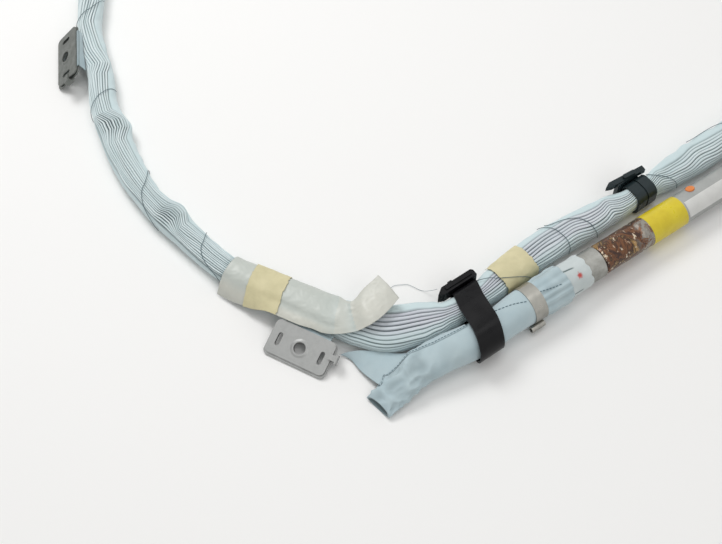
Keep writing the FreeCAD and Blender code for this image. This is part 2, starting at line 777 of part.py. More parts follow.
def front_plate():
    """The upper plate, with a raised rim round the fixing hole."""
    foot = TAB_THICK / 2
    plate = rounded_plate(BRACKET_LENGTH, BRACKET_WIDTH, BRACKET_CORNER, BRACKET_THICK)
    plate.translate(V(0, 0, foot))
    rim = Part.makeCone(BRACKET_RIM_DIA / 2, BRACKET_RIM_TOP_DIA / 2, BRACKET_RIM_HEIGHT,
                        V(0, 0, foot + BRACKET_THICK))
    return cut_openings(plate.fuse(rim)).removeSplitter()


def back_plate():
    """The lower plate, a little larger, with a hook folded up past the end of the upper one."""
    margin = BACK_PLATE_MARGIN
    foot = -TAB_THICK / 2 - BRACKET_THICK
    plate = rounded_plate(
        BRACKET_LENGTH + margin, BRACKET_WIDTH + margin, BRACKET_CORNER, BRACKET_THICK)
    plate.translate(V(0, -margin / 2, foot))
    plate = cut_openings(plate)
    end = (BRACKET_LENGTH + margin) / 2
    height = 2 * BRACKET_THICK + TAB_THICK + HOOK_GAP + BRACKET_THICK
    root = V(end - HOOK_ROOT, 0, foot)
    shelf = Part.makeBox(HOOK_REACH + HOOK_ROOT, HOOK_WIDTH, BRACKET_THICK, root)
    wall = Part.makeBox(BRACKET_THICK, HOOK_WIDTH, height,
                        V(end + HOOK_REACH - BRACKET_THICK, 0, foot))
    lip = Part.makeBox(HOOK_REACH + HOOK_ROOT, HOOK_LIP_WIDTH, BRACKET_THICK,
                       root + V(0, (HOOK_WIDTH - HOOK_LIP_WIDTH) / 2, height - BRACKET_THICK))
    return plate.fuse([shelf, wall, lip]).removeSplitter()


def fabric_tab(leg, tilt):
    """The fabric tab clamped between the plates, with a second leg towards the bundle."""
    reach, slope = leg
    edge = BRACKET_WIDTH / 2 + BRACKET_HOLE_SHIFT + TAB_OVERHANG
    foot = BRACKET_HOLE_SHIFT - BRACKET_WIDTH / 2 + TAB_EDGE
    sheet = Part.makeBox(
        TAB_LENGTH, edge - foot, TAB_THICK, V(-TAB_LENGTH / 2, foot, -TAB_THICK / 2))
    sheet = cut_openings(sheet)
    end = Part.makeBox(TAB_LENGTH, reach + TAB_THICK, TAB_THICK,
                       V(-TAB_LENGTH / 2, edge - TAB_THICK, -TAB_THICK / 2))
    end.rotate(V(0, edge - TAB_THICK / 2, 0), V(1, 0, 0), slope - tilt)
    return sheet.fuse(end).removeSplitter()


def place_bracket(shape, place):
    """Turn and tilt a bracket piece: one long edge on the table, the other one raised."""
    x, y, turn, tilt = place
    shape = shape.copy()
    lean = math.radians(tilt)
    reach = BRACKET_WIDTH / 2 - BRACKET_HOLE_SHIFT + BACK_PLATE_MARGIN
    height = reach * math.sin(lean)
    height += (TAB_THICK / 2 + BRACKET_THICK) * math.cos(lean) + FLOOR_CLEARANCE
    shape.rotate(V(0, 0, 0), V(1, 0, 0), tilt)
    shape.rotate(V(0, 0, 0), UP, turn)
    shape.translate(V(x, y, height))
    return shape


def tab_cutter(bundle, place):
    """The bundle's outline by a bracket, grown a little, to end the bracket's tab at."""
    middle = bundle.distance_at(place[0], place[1])
    rings = []
    for k in range(-5, 6):
        distance = middle + k * 9
        turns = [FULL_TURN * step / 24 for step in range(24)]
        rings.append([bundle.point(distance, angle, TAB_GAP) for angle in turns])
    return bundle_solid(rings)


def film_row(bundle, stop):
    """One row of the cover film, from its far edge over the top to its near hem."""
    reach, far_angle, spread, hem = stop
    distance = bundle.distance_at(*FILM_PLACE) + reach
    row = []
    for k in range(FILM_COLUMNS):
        angle = blend(far_angle, FILM_NEAR_ANGLE, k / (FILM_COLUMNS - 1))
        row.append(bundle.point(distance, angle, FILM_GAP))
    here, side, width = bundle.at(distance)[:3]
    end = here - side * (width / 2 + spread) + UP * hem
    row.append((row[-1] + end) * 0.5 - side * (spread * 0.15))
    row.append(end)
    return row


def make_film(bundle):
    """The cover film: laid over the bundle, hem hanging on the near side, flap turned up."""
    rows = [film_row(bundle, stop) for stop in FILM_ROWS]
    last = len(rows[0]) - 1
    for far, near in FILM_FLAP:
        row = []
        for k in range(last + 1):
            curl = FLAP_CURL * math.sin(math.pi * k / last)
            row.append(far + (near - far) * (k / last) + UP * curl)
        rows.append(row)
    return sheet_solid(rows, FILM_THICK)


def raised(rows, offset):
    """The rows of a sheet moved outwards by an offset."""
    normals = sheet_normals(rows)
    return [[p + n * offset for p, n in zip(*pair)] for pair in zip(rows, normals)]


def make_wrap_tape(bundle):
    """Masking tape stuck over the film, from the far shoulder down to the hem."""
    first, last = WRAP_TAPE_SPAN
    rows = raised([film_row(bundle, stop) for stop in FILM_ROWS], FILM_THICK + TAPE_GAP)
    taped = [row[1:] for row, stop in zip(rows, FILM_ROWS) if first <= stop[0] <= last]
    return sheet_solid(taped, TAPE_THICK)


def make_cushion_tape(bundle):
    """Masking tape stuck on the cushion beyond the strap."""
    start = bundle.distance_at(*CUSHION_TAPE_PLACE)
    rows = []
    for k in range(5):
        distance = start + CUSHION_TAPE_WIDTH * k / 4
        rows.append([bundle.point(distance, angle, TAPE_GAP) for angle in range(10, 191, 20)])
    return sheet_solid(rows, TAPE_THICK)


def across_frame(place, turn):
    """A frame in an upright plane: q runs from the far side to the near side."""
    x, y = place
    angle = math.radians(turn)
    return V(x, y, 0), V(math.cos(angle), math.sin(angle), 0)


def strap_outline(grow):
    """The strap's loop round cushion and sleeve in its own plane, grown by a thickness."""
    cushion_q, cushion_width = STRAP_CUSHION
    sleeve_q, sleeve_radius = STRAP_SLEEVE
    sleeve_r = sleeve_radius + STRAP_GAP + grow
    foot = CLIP_WALL - grow + FLOOR_CLEARANCE
    top = CARRIED + CUSHION_HEIGHT + STRAP_GAP + grow
    corner = STRAP_CORNER + grow
    far = cushion_q - cushion_width / 2 - STRAP_GAP - grow
    middle = foot + sleeve_r
    lean = math.radians(STRAP_SHOULDER)
    shoulder = (sleeve_q - sleeve_r * math.cos(lean), middle + sleeve_r * math.sin(lean))
    points = {
        "foot_far": (far + corner, foot),
        "far_low": (far, foot + corner),
        "far_high": (far, top - corner),
        "top_far": (far + corner, top),
        "top_near": (cushion_q + STRAP_FLAT, top),
        "shoulder": shoulder,
        "near": (sleeve_q + sleeve_r, middle),
        "foot_near": (sleeve_q, foot),
    }
    bend = corner * (1 - math.sqrt(0.5))
    spread = sleeve_r * math.sqrt(0.5)
    arcs = {
        "far_low": (far + bend, foot + bend),
        "far_top": (far + bend, top - bend),
        "near_top": (sleeve_q + spread, middle + spread),
        "near_low": (sleeve_q + spread, middle - spread),
    }
    return points, arcs


def loop_wire(points, arcs, frame):
    """The strap's loop as lines and arcs in its upright plane."""
    origin, across = frame

    def at(pair):
        return origin + across * pair[0] + UP * pair[1]

    p = {name: at(pair) for name, pair in points.items()}
    a = {name: at(pair) for name, pair in arcs.items()}
    edges = [
        Part.Arc(p["foot_far"], a["far_low"], p["far_low"]).toShape(),
        Part.makeLine(p["far_low"], p["far_high"]),
        Part.Arc(p["far_high"], a["far_top"], p["top_far"]).toShape(),
        Part.makeLine(p["top_far"], p["top_near"]),
        Part.makeLine(p["top_near"], p["shoulder"]),
        Part.Arc(p["shoulder"], a["near_top"], p["near"]).toShape(),
        Part.Arc(p["near"], a["near_low"], p["foot_near"]).toShape(),
        Part.makeLine(p["foot_near"], p["foot_far"]),
    ]
    return Part.Wire(edges)


def strap_run():
    """The direction along the bundle in which the strap's width runs."""
    skew = math.radians(STRAP_SKEW)
    return V(math.cos(skew), math.sin(skew), 0)


def make_strap():
    """The black strap round cushion and sleeve, set a little askew."""
    run = strap_run() * STRAP_WIDTH
    frame = across_frame(STRAP_PLACE, STRAP_ACROSS)
    outer = Part.Face(loop_wire(*strap_outline(CLIP_WALL), frame))
    inner = Part.Face(loop_wire(*strap_outline(0.0), frame))
    band = outer.cut(inner).Faces[0].extrude(run)
    band.translate(run * -0.5)
    return band


def oriented_box(corner, ahead, across, length, depth, height):
    """A box with its corner at a point, length along ahead, depth along across."""
    base = [corner, corner + ahead * length]
    base += [base[1] + across * depth, corner + across * depth]
    return Part.Face(Part.makePolygon(base + base[:1])).extrude(UP * height)


def make_strap_head():
    """The strap's fixing bar against its far wall, pointed at its left end."""
    ahead = strap_run()
    out = UP.cross(ahead)
    origin, across = across_frame(STRAP_PLACE, STRAP_ACROSS)
    wall = strap_outline(CLIP_WALL)[0]["far_low"][0]
    foot = origin + across * wall + UP * HEAD_FOOT
    left, right = HEAD_SPAN
    outline = [
        foot + ahead * (left - HEAD_POINT) + out * (HEAD_DEPTH / 3),
        foot + ahead * left,
        foot + ahead * right,
        foot + ahead * right + out * (HEAD_DEPTH - HEAD_CHAMFER),
        foot + ahead * (right - HEAD_CHAMFER) + out * HEAD_DEPTH,
        foot + ahead * (left + HEAD_CHAMFER) + out * HEAD_DEPTH,
    ]
    height = HEAD_TOP - HEAD_FOOT
    bar = Part.Face(Part.makePolygon(outline + outline[:1])).extrude(UP * height)
    rib_depth, rib_height = HEAD_RIB
    rib_start = foot + ahead * (left + 2 * HEAD_CHAMFER) + out * (HEAD_DEPTH / 3) + UP * height
    rib_length = right - left - 4 * HEAD_CHAMFER
    rib = oriented_box(rib_start, ahead, out, rib_length, rib_depth, rib_height)
    nub_place, nub_length, nub_depth = HEAD_NUB
    nub_start = foot + ahead * nub_place + out * HEAD_DEPTH
    nub = oriented_box(nub_start, ahead, out, nub_length, nub_depth, height - HEAD_CHAMFER)
    return bar.fuse([rib, nub]).removeSplitter()


def clip_frame():
    """The second clip's place on the table, its direction along and across the bundle."""
    origin, across = across_frame(CLIP_PLACE, CLIP_TURN - 90)
    return origin, V(-across.y, across.x, 0), across


def clip_ring(grow):
    """The clip's section round the cushion: a rounded box, grown by a thickness."""
    origin, ahead, across = clip_frame()
    centre, cushion_width = CLIP_CUSHION
    half = cushion_width / 2 + CLIP_GAP + grow
    low = FLOOR_CLEARANCE + CLIP_WALL - grow
    high = CARRIED + CUSHION_HEIGHT + CLIP_GAP + grow
    corner = origin - ahead * (CLIP_WIDTH / 2) + across * (centre - half) + UP * low
    box = oriented_box(corner, ahead, across, CLIP_WIDTH, 2 * half, high - low)
    rims = [e for e in box.Edges if abs(e.tangentAt(e.FirstParameter).dot(ahead)) > 0.9]
    return box.makeFillet(CLIP_CORNER + grow, rims)


def make_clip():
    """The black clip round the cushion: two thick ribs with a groove between them."""
    origin, ahead, across = clip_frame()
    ring = clip_ring(CLIP_WALL).cut(clip_ring(0.0))
    reach = CLIP_CUSHION[1] + 2 * CLIP_WALL + CLIP_GAP
    start = origin - ahead * (CLIP_GROOVE / 2) + across * (CLIP_CUSHION[0] - reach)
    groove = oriented_box(start, ahead, across, CLIP_GROOVE, 2 * reach, 2 * CUSHION_HEIGHT)
    return ring.cut(groove.cut(clip_ring(CLIP_WALL - CLIP_GROOVE_DEPTH)))


def make_clip_base():
    """The clip's base bar on its far side, with a pointed end and an oval boss."""
    origin, along, across = clip_frame()
    wall = CLIP_CUSHION[0] - CLIP_CUSHION[1] / 2 - CLIP_GAP - CLIP_WALL
    side = origin + across * wall
    turn = math.radians(CLIP_TURN + BASE_TURN)
    ahead = V(math.cos(turn), math.sin(turn), 0)
    out = UP.cross(ahead)
    start, end = BASE_SPAN
    low = side + UP * (BASE_TOP - BASE_THICK)
    outline = [
        low + ahead * start + out * (BASE_DEPTH * 0.35),
        low + ahead * (start + BASE_POINT),
        low + ahead * end,
        low + ahead * end + out * BASE_DEPTH,
        low + ahead * (start + BASE_POINT) + out * BASE_DEPTH,
    ]
    bar = Part.Face(Part.makePolygon(outline + outline[:1])).extrude(UP * BASE_THICK)
    foot_start, foot_end = BASE_FOOT_SPAN
    foot = oriented_box(side + along * foot_start + UP * BASE_FOOT, along, across * -1,
                        foot_end - foot_start, BASE_FOOT_DEPTH, BASE_TOP - BASE_FOOT - 1)
    boss_start = low + ahead * (start + end) / 2 + out * (BASE_DEPTH / 2) + UP * BASE_THICK
    boss_end = boss_start + ahead * BOSS_LENGTH
    boss = Part.makeCylinder(BOSS_DIA / 2, BOSS_HEIGHT, boss_start)
    boss = boss.fuse(Part.makeCylinder(BOSS_DIA / 2, BOSS_HEIGHT, boss_end))
    link = oriented_box(
        boss_start - out * (BOSS_DIA / 2), ahead, out, BOSS_LENGTH, BOSS_DIA, BOSS_HEIGHT)
    return bar.fuse([foot, boss, link]).removeSplitter()


def make_bracket(name, bundle, place, leg):
    """The three pieces of one bracket, by node name."""
    tab = place_bracket(fabric_tab(leg, place[3]), place)
    return {
        name + "_bracket_front": place_bracket(front_plate(), place),
        name + "_bracket_back": place_bracket(back_plate(), place),
        name + "_fabric_tab": tab.cut(tab_cutter(bundle, place)),
    }


def run():
    """Build every piece, move the part onto its origin and write the files."""
    bundle = Bundle()
    axis = Axis()
    tail = Tail()
    label_start = BOTTLE_START + LABEL_LENGTH + ID_LABEL_GAP
    pieces = {
        "folded_cushion": make_cushion(bundle),
        "diffuser_neck": make_neck(axis),
        "stained_chamber": make_chamber(axis),
        "gas_bottle": make_bottle(axis),
        "yellow_band": label_shell(axis, BOTTLE_START, LABEL_LENGTH, 0, FULL_TURN),
        "white_label": label_shell(
            axis, label_start, ID_LABEL_LENGTH, ID_LABEL_TURN, ID_LABEL_SPAN),
        "fill_plug": make_plug(axis),
        "end_closure": make_closure(axis),
        "igniter_socket": make_socket(axis),
        "igniter_pins": make_pins(axis),
        "inlet_sleeve": make_sleeve(axis, tail),
        "inner_sleeve": make_inner_sleeve(axis),
        "throat_panel": make_throat_panel(bundle, tail),
        "hose_clamp_band": make_clamp(axis),
        "hose_clamp_pin": make_clamp_pin(axis),
        "cover_film": make_film(bundle),
        "wrap_tape": make_wrap_tape(bundle),
        "cushion_tape": make_cushion_tape(bundle),
        "bundle_strap": make_strap(),
        "strap_head": make_strap_head(),
        "bundle_clip": make_clip(),
        "clip_base": make_clip_base(),
    }
    pieces.update(make_bracket("middle", bundle, MIDDLE_BRACKET, MIDDLE_TAB_LEG))
    pieces.update(make_bracket("end", bundle, END_BRACKET, END_TAB_LEG))
    box = Part.makeCompound(list(pieces.values())).optimalBoundingBox(False, False)
    shift = V(-(box.XMin + box.XMax) / 2, -(box.YMin + box.YMax) / 2, -box.ZMin)
    print("shift", round(shift.x, 3), round(shift.y, 3), round(shift.z, 3))
    print("size", round(box.XLength, 1), round(box.YLength, 1), round(box.ZLength, 1))
    os.makedirs("parts", exist_ok=True)
    for name, shape in pieces.items():
        shape = shape.copy()
        shape.translate(shift)
        shape.exportStep("parts/" + name + ".step")
        print(name, "solids", len(shape.Solids), "valid", shape.isValid(),
              "volume", round(shape.Volume / 1000, 2), "cm3")


run()
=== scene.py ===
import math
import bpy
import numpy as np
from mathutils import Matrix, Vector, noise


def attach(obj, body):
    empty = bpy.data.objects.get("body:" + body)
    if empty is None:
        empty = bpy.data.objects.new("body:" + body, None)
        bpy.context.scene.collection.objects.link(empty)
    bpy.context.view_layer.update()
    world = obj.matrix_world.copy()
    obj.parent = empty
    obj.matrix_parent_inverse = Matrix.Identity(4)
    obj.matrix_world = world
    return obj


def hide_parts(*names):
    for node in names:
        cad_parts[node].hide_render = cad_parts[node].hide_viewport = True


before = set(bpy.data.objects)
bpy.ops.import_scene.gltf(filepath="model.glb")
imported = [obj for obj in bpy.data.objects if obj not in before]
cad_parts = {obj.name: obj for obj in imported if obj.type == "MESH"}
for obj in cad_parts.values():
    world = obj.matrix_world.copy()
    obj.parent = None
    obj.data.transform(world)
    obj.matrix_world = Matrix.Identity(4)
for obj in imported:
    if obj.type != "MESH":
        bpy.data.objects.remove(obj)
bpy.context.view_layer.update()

# %% [markdown]
# # A side curtain airbag on a table
# The rigid pieces come from the frame and only get finishes here. The soft ones, which are
# the pleated cushion, the fill sleeve, the film, the tapes and the threads, are made in this
# file, because cloth has folds that a plain solid leaves out. Everything is in metres.

MM = 0.001

# %% [markdown]
# ## Layout and frame
# Places on the table were worked out round the middle of the picture, in millimetres. One
# fixed move takes them into the part's frame, so the camera and every soft piece use it.
# A second small function puts a new object into the scene.

# %% Layout to frame
LAYOUT_MOVE = np.array((-77.077, -161.385, -0.231))


def to_frame(points):
    """Layout millimetres to the part's frame in metres."""
    return (np.asarray(points, float) + LAYOUT_MOVE) * MM


def add_object(name, data):
    """A new object in the scene that holds the given mesh, camera or lamp."""
    thing = bpy.data.objects.new(name, data)
    bpy.context.scene.collection.objects.link(thing)
    return thing


print("layout's origin in the frame", to_frame((0, 0, 0)).round(4).tolist())

# %% [markdown]
# ## Camera
# The picture is taken from 59 degrees above the table. A long lens 1.33 m away gives the
# slight narrowing towards the back that the picture has.

# %% Camera
ELEVATION = math.radians(59.0)
CAMERA_DISTANCE = 1330.0
SENSOR_WIDTH = 36.0
FOCAL_PIXELS, PICTURE_PIXELS = 1400.0, 722.0
camera_data = bpy.data.cameras.new("camera")
camera_data.sensor_width = SENSOR_WIDTH
camera_data.lens = SENSOR_WIDTH * FOCAL_PIXELS / PICTURE_PIXELS
camera_data.clip_start = 0.05
camera_data.clip_end = 20.0
camera = add_object("camera", camera_data)
camera.location = to_frame(
    (0, -CAMERA_DISTANCE * math.cos(ELEVATION), CAMERA_DISTANCE * math.sin(ELEVATION)))
camera.rotation_euler = (math.pi / 2 - ELEVATION, 0, 0)
bpy.context.scene.camera = camera
print("camera at", [round(v, 3) for v in camera.location])

# %% [markdown]
# ## Finishes: two small helpers
# A material is a tree of nodes. Writing `put` and `join` once keeps every finish below short
# enough to read: one line adds a node with its values, the next line connects it.


# %% Helpers for shader trees
def put(tree, kind, values=None, **settings):
    """Add a node, set its own settings by name and its sockets by name or number."""
    node = tree.nodes.new(kind)
    for name, value in settings.items():
        setattr(node, name, value)
    for key, value in (values or {}).items():
        node.inputs[key].default_value = value
    return node


def join(tree, *pairs):
    """Connect (node, output) to (node, input), given one pair after another."""
    for out_node, out_name, in_node, in_name in pairs:
        tree.links.new(out_node.outputs[out_name], in_node.inputs[in_name])


def ramp(tree, stops):
    """A colour ramp with (place, colour) stops."""
    node = put(tree, "ShaderNodeValToRGB")
    line = node.color_ramp.elements
    while len(line) < len(stops):
        line.new(0.5)
    for element, (place, colour) in zip(line, stops):
        element.position = place
        element.color = (*colour, 1.0)
    return node


def new_finish(name, **surface):
    """A material with one Principled shader; surface values are set by socket name."""
    finish = bpy.data.materials.new(name)
    finish.use_nodes = True
    tree = finish.node_tree
    shader = tree.nodes["Principled BSDF"]
    for key, value in surface.items():
        shader.inputs[key.replace("_", " ")].default_value = value
    return finish, tree, shader


def towards(tree, colour, target, amount):
    """Mix a colour's output towards a target colour by an amount's output."""
    shade = put(tree, "ShaderNodeMix", data_type="RGBA")
    shade.inputs["B"].default_value = (*target, 1)
    tree.links.new(amount, shade.inputs["Factor"])
    tree.links.new(colour, shade.inputs["A"])
    return shade.outputs["Result"]


def stored_shade(tree, colour, stored, target):
    """Mix a colour towards a target where the mesh stores a value; returns the new output."""
    amount = put(tree, "ShaderNodeAttribute", attribute_name=stored)
    return towards(tree, colour, target, amount.outputs["Fac"])


def new_group(name, inputs, outputs, tree_kind="ShaderNodeTree"):
    """An empty node group with named sockets, given as (name, kind, default)."""
    group = bpy.data.node_groups.new(name, tree_kind)
    for title, kind, default in inputs:
        socket = group.interface.new_socket(title, in_out="INPUT", socket_type=kind)
        if default is not None:
            socket.default_value = default
    for title, kind in outputs:
        group.interface.new_socket(title, in_out="OUTPUT", socket_type=kind)
    start = group.nodes.new("NodeGroupInput")
    end = group.nodes.new("NodeGroupOutput")
    return group, start, end


def use_group(tree, group, values=None):
    """Place a group in a tree and set its inputs."""
    return put(tree, "ShaderNodeGroup", values, node_tree=group)


print("shader trees: nodes with put, links with join, groups with new_group and use_group")

# %% [markdown]
# ## Three effects that many finishes share
# Cloth shows its threads, every surface has slow uneven patches, and sheet metal shows fine
# rolling lines. Each is a group with named inputs, so a finish only picks its own values.

# %% Shared effect: woven threads
VECTOR, FLOAT = "NodeSocketVector", "NodeSocketFloat"
weave, start, end = new_group(
    "woven threads", [("Vector", VECTOR, None), ("Thread", FLOAT, 0.0006)], [("Height", FLOAT)])
split = put(weave, "ShaderNodeSeparateXYZ")
join(weave, (start, "Vector", split, 0))
waves = []
for axis in ("X", "Y"):
    count = put(weave, "ShaderNodeMath", operation="DIVIDE")
    join(weave, (split, axis, count, 0), (start, "Thread", count, 1))
    turn = put(weave, "ShaderNodeMath", {1: math.pi}, operation="MULTIPLY")
    join(weave, (count, 0, turn, 0))
    wave = put(weave, "ShaderNodeMath", operation="SINE")
    join(weave, (turn, 0, wave, 0))
    waves.append(wave)
cross = put(weave, "ShaderNodeMath", operation="MULTIPLY")
lift = put(weave, "ShaderNodeMath", {1: 0.5, 2: 0.5}, operation="MULTIPLY_ADD")
join(weave, (waves[0], 0, cross, 0), (waves[1], 0, cross, 1), (cross, 0, lift, 0),
     (lift, 0, end, "Height"))
print(weave.name, "has", len(weave.nodes), "nodes")

# %% [markdown]
# Cloth, paint and steel are never one even shade: dirt, wear and the weave change it slowly.
# Noise gives such patches, and a map range sets how sharply they end.

# %% Shared effect: slow uneven patches
patches, start, end = new_group(
    "uneven patches",
    [("Vector", VECTOR, None), ("Scale", FLOAT, 30.0), ("Low", FLOAT, 0.35),
     ("High", FLOAT, 0.65)],
    [("Mask", FLOAT)])
cloud = put(patches, "ShaderNodeTexNoise", {"Detail": 4.0, "Roughness": 0.6})
bounds_map = put(patches, "ShaderNodeMapRange")
join(patches, (start, "Vector", cloud, "Vector"), (start, "Scale", cloud, "Scale"),
     (cloud, "Fac", bounds_map, "Value"), (start, "Low", bounds_map, "From Min"),
     (start, "High", bounds_map, "From Max"), (bounds_map, "Result", end, "Mask"))
print(patches.name, "has", len(patches.nodes), "nodes")

# %% [markdown]
# Rolling draws the metal's grain out in one direction. The same noise, squeezed along one
# axis, gives such lines, and a turn lays them along the piece.

# %% Shared effect: rolled or turned metal
rolled, start, end = new_group(
    "rolled metal",
    [("Vector", VECTOR, None), ("Turn", FLOAT, 0.0), ("Line", FLOAT, 900.0)],
    [("Height", FLOAT)])
spin = put(rolled, "ShaderNodeVectorRotate", rotation_type="Z_AXIS")
stretch = put(rolled, "ShaderNodeVectorMath", {1: (0.03, 1.0, 1.0)}, operation="MULTIPLY")
lines = put(rolled, "ShaderNodeTexNoise", {"Detail": 3.0, "Roughness": 0.7})
join(rolled, (start, "Vector", spin, "Vector"), (start, "Turn", spin, "Angle"),
     (spin, 0, stretch, 0), (stretch, 0, lines, "Vector"), (start, "Line", lines, "Scale"),
     (lines, "Fac", end, "Height"))
print(rolled.name, "has", len(rolled.nodes), "nodes")

# %% [markdown]
# ## Two shades
# Every finish below starts with its two close shades in slow patches, on the object's own
# coordinates. Painted and bare metal also get a gloss that follows the patches, and a fine
# relief from the grain of the surface.


# %% Helpers for two shades
def two_shades(tree, where, light, dark, scale, low=0.35, high=0.68):
    """Two shades mixed in patches; returns the patches' node and the colour's output."""
    spots = use_group(tree, patches, {"Scale": scale, "Low": low, "High": high})
    mix = put(tree, "ShaderNodeMix", data_type="RGBA")
    mix.inputs["A"].default_value = (*light, 1)
    mix.inputs["B"].default_value = (*dark, 1)
    join(tree, (where, "Object", spots, "Vector"))
    tree.links.new(spots.outputs["Mask"], mix.inputs["Factor"])
    return spots, mix.outputs["Result"]


def gloss_and_relief(tree, shader, spots, rough, grain, bump, height=0.0001):
    """Roughness between two values and a bump, each led by a (node, output)."""
    gloss = put(tree, "ShaderNodeMapRange", {"To Min": rough[0], "To Max": rough[1]})
    relief = put(tree, "ShaderNodeBump", {"Strength": bump, "Distance": height})
    join(tree, (*spots, gloss, "Value"), (gloss, "Result", shader, "Roughness"),
         (*grain, relief, "Height"), (relief, "Normal", shader, "Normal"))


print("two shades: colour by two_shades, gloss and bump by gloss_and_relief")

# %% [markdown]
# ## Cloth finishes
# All cloth here is woven nylon, in different colours. The tree is the same, so one function
# makes it: threads as a fine bump, slow patches between two shades, and a painted shade in the
# bottom of folds, which the cushion stores for each point under the name `fold`. Two more
# stored values turn the upper folds of the middle part towards lilac (`tint`) and paint a
# white highlight on the tops of the ridges (`crest`).

# %% Cloth finish
def cloth_finish(name, light, dark, fold_colour=None, thread=0.0006, bump=0.25,
                 tint_colour=None, crest_highlight_colour=None):
    """Woven cloth. light and dark are its two shades, fold_colour a painted shade deep in folds,
    the crest colour a painted highlight on ridge tops.
    """
    finish, tree, shader = new_finish(name, Roughness=0.8, Sheen_Weight=0.25,
                                      Sheen_Roughness=0.5)
    where = put(tree, "ShaderNodeTexCoord")
    _, colour = two_shades(tree, where, light, dark, 45.0, 0.3, 0.7)
    for stored, target in (("tint", tint_colour), ("crest", crest_highlight_colour),
                           ("fold", fold_colour)):
        if target:
            colour = stored_shade(tree, colour, stored, target)
    tree.links.new(colour, shader.inputs["Base Color"])
    threads = use_group(tree, weave, {"Thread": thread})
    relief = put(tree, "ShaderNodeBump", {"Strength": bump, "Distance": 0.0002})
    join(tree, (where, "UV", threads, "Vector"), (threads, "Height", relief, "Height"),
         (relief, "Normal", shader, "Normal"))
    return finish


# The cushion's third colour is a painted shade in the pleats' valleys, its last a painted
# highlight on the ridge tops.
cushion_cloth = cloth_finish(
    "cushion cloth", (0.56, 0.68, 0.70), (0.60, 0.71, 0.73), (0.02, 0.05, 0.055),
    tint_colour=(0.58, 0.57, 0.65), crest_highlight_colour=(0.80, 0.88, 0.89))
# The sleeve cloth's third colour is a painted shade in creases, gathers and the mouth.
sleeve_cloth = cloth_finish(
    "sleeve cloth", (0.42, 0.53, 0.57), (0.47, 0.57, 0.60), (0.08, 0.12, 0.13), 0.0007, 0.35)
# The pale cloth's third colour is a painted shade in the slots; its tint is the red paint dab.
pale_cloth = cloth_finish(
    "pale cloth", (0.60, 0.65, 0.65), (0.50, 0.56, 0.56), (0.05, 0.09, 0.09), 0.0009, 0.5,
    tint_colour=(0.50, 0.06, 0.05))
thread_cloth = cloth_finish("dark thread", (0.05, 0.09, 0.11), (0.08, 0.13, 0.15), None, 0.0003)
pale_thread = cloth_finish("pale thread", (0.20, 0.25, 0.27), (0.26, 0.31, 0.33), None, 0.0003)
seam_cloth = cloth_finish("seam thread", (0.07, 0.13, 0.16), (0.10, 0.17, 0.20), None, 0.0003)
print("cloths", [finish.name for finish in (
    cushion_cloth, sleeve_cloth, pale_cloth, thread_cloth, pale_thread, seam_cloth)])

# %% [markdown]
# ## Sheet metal and turned metal
# Zinc plate is light and a little cloudy, the leaning bracket is duller, the clamp band is
# brushed. One function takes the shade, how rough it is and which way its lines run.

# %% Metal finishes
def metal_finish(name, light, dark, rough, turn=0.0, line=900.0, metallic=0.9):
    """Metal with rolling lines and cloudy patches between two shades."""
    finish, tree, shader = new_finish(name, Metallic=metallic)
    where = put(tree, "ShaderNodeTexCoord")
    marks = use_group(tree, rolled, {"Turn": turn, "Line": line})
    join(tree, (where, "Object", marks, "Vector"))
    spots, colour = two_shades(tree, where, light, dark, 120.0)
    gloss_and_relief(tree, shader, (spots, "Mask"), (rough - 0.07, rough + 0.1),
                     (marks, "Height"), 0.12)
    tree.links.new(colour, shader.inputs["Base Color"])
    return finish


zinc = metal_finish("zinc sheet", (0.34, 0.345, 0.34), (0.28, 0.285, 0.28), 0.4, 0.48, 700.0, 0.8)
dull_steel = metal_finish(
    "dull steel sheet", (0.17, 0.18, 0.17), (0.13, 0.14, 0.13), 0.45, 1.4, 700.0, 0.6)
band_steel = metal_finish(
    "clamp steel", (0.36, 0.35, 0.32), (0.29, 0.285, 0.26), 0.34, 1.0, 2600.0)
neck_steel = metal_finish("neck steel", (0.36, 0.36, 0.34), (0.25, 0.25, 0.23), 0.38, -0.6)
pin_metal = metal_finish("contact metal", (0.75, 0.6, 0.32), (0.6, 0.48, 0.25), 0.3)
print("metals", [finish.name for finish in (
    zinc, dull_steel, band_steel, neck_steel, pin_metal)])

# %% [markdown]
# ## The heat-stained chamber
# Heat leaves brown, red and tan films on the steel, with glossy highlights over all of it.
# The larger noise picks the films' colours from a ramp, the finer one adds small painted glints,
# and a thin coat gives the gloss.
# Towards the bottle the films end in patches, and bare grey steel shows.

# %% Heat-stained steel
# Where along the turned coordinate the bare patches start and are full, in metres.
BARE_FROM, BARE_FULL = 0.062, 0.080
# The first colour is for small painted glints, the second for bare steel.
GLINT_COLOUR, BARE_COLOUR = (0.60, 0.50, 0.37), (0.26, 0.245, 0.215)
stained, tree, shader = new_finish("stained steel", Metallic=0.5, Coat_Weight=0.3,
                                   Coat_Roughness=0.1)
where = put(tree, "ShaderNodeTexCoord")
twist = put(tree, "ShaderNodeVectorRotate", {"Angle": -0.607}, rotation_type="Z_AXIS")
pull = put(tree, "ShaderNodeVectorMath", {1: (1.0, 0.55, 1.0)}, operation="MULTIPLY")
big = put(tree, "ShaderNodeTexNoise", {"Scale": 52.0, "Detail": 6.0, "Roughness": 0.7,
                                       "Distortion": 0.8})
stain = ramp(tree, [
    (0.28, (0.010, 0.005, 0.004)), (0.40, (0.045, 0.016, 0.008)), (0.46, (0.16, 0.06, 0.018)),
    (0.53, (0.020, 0.008, 0.005)), (0.62, (0.40, 0.23, 0.07)), (0.68, (0.04, 0.015, 0.008))])
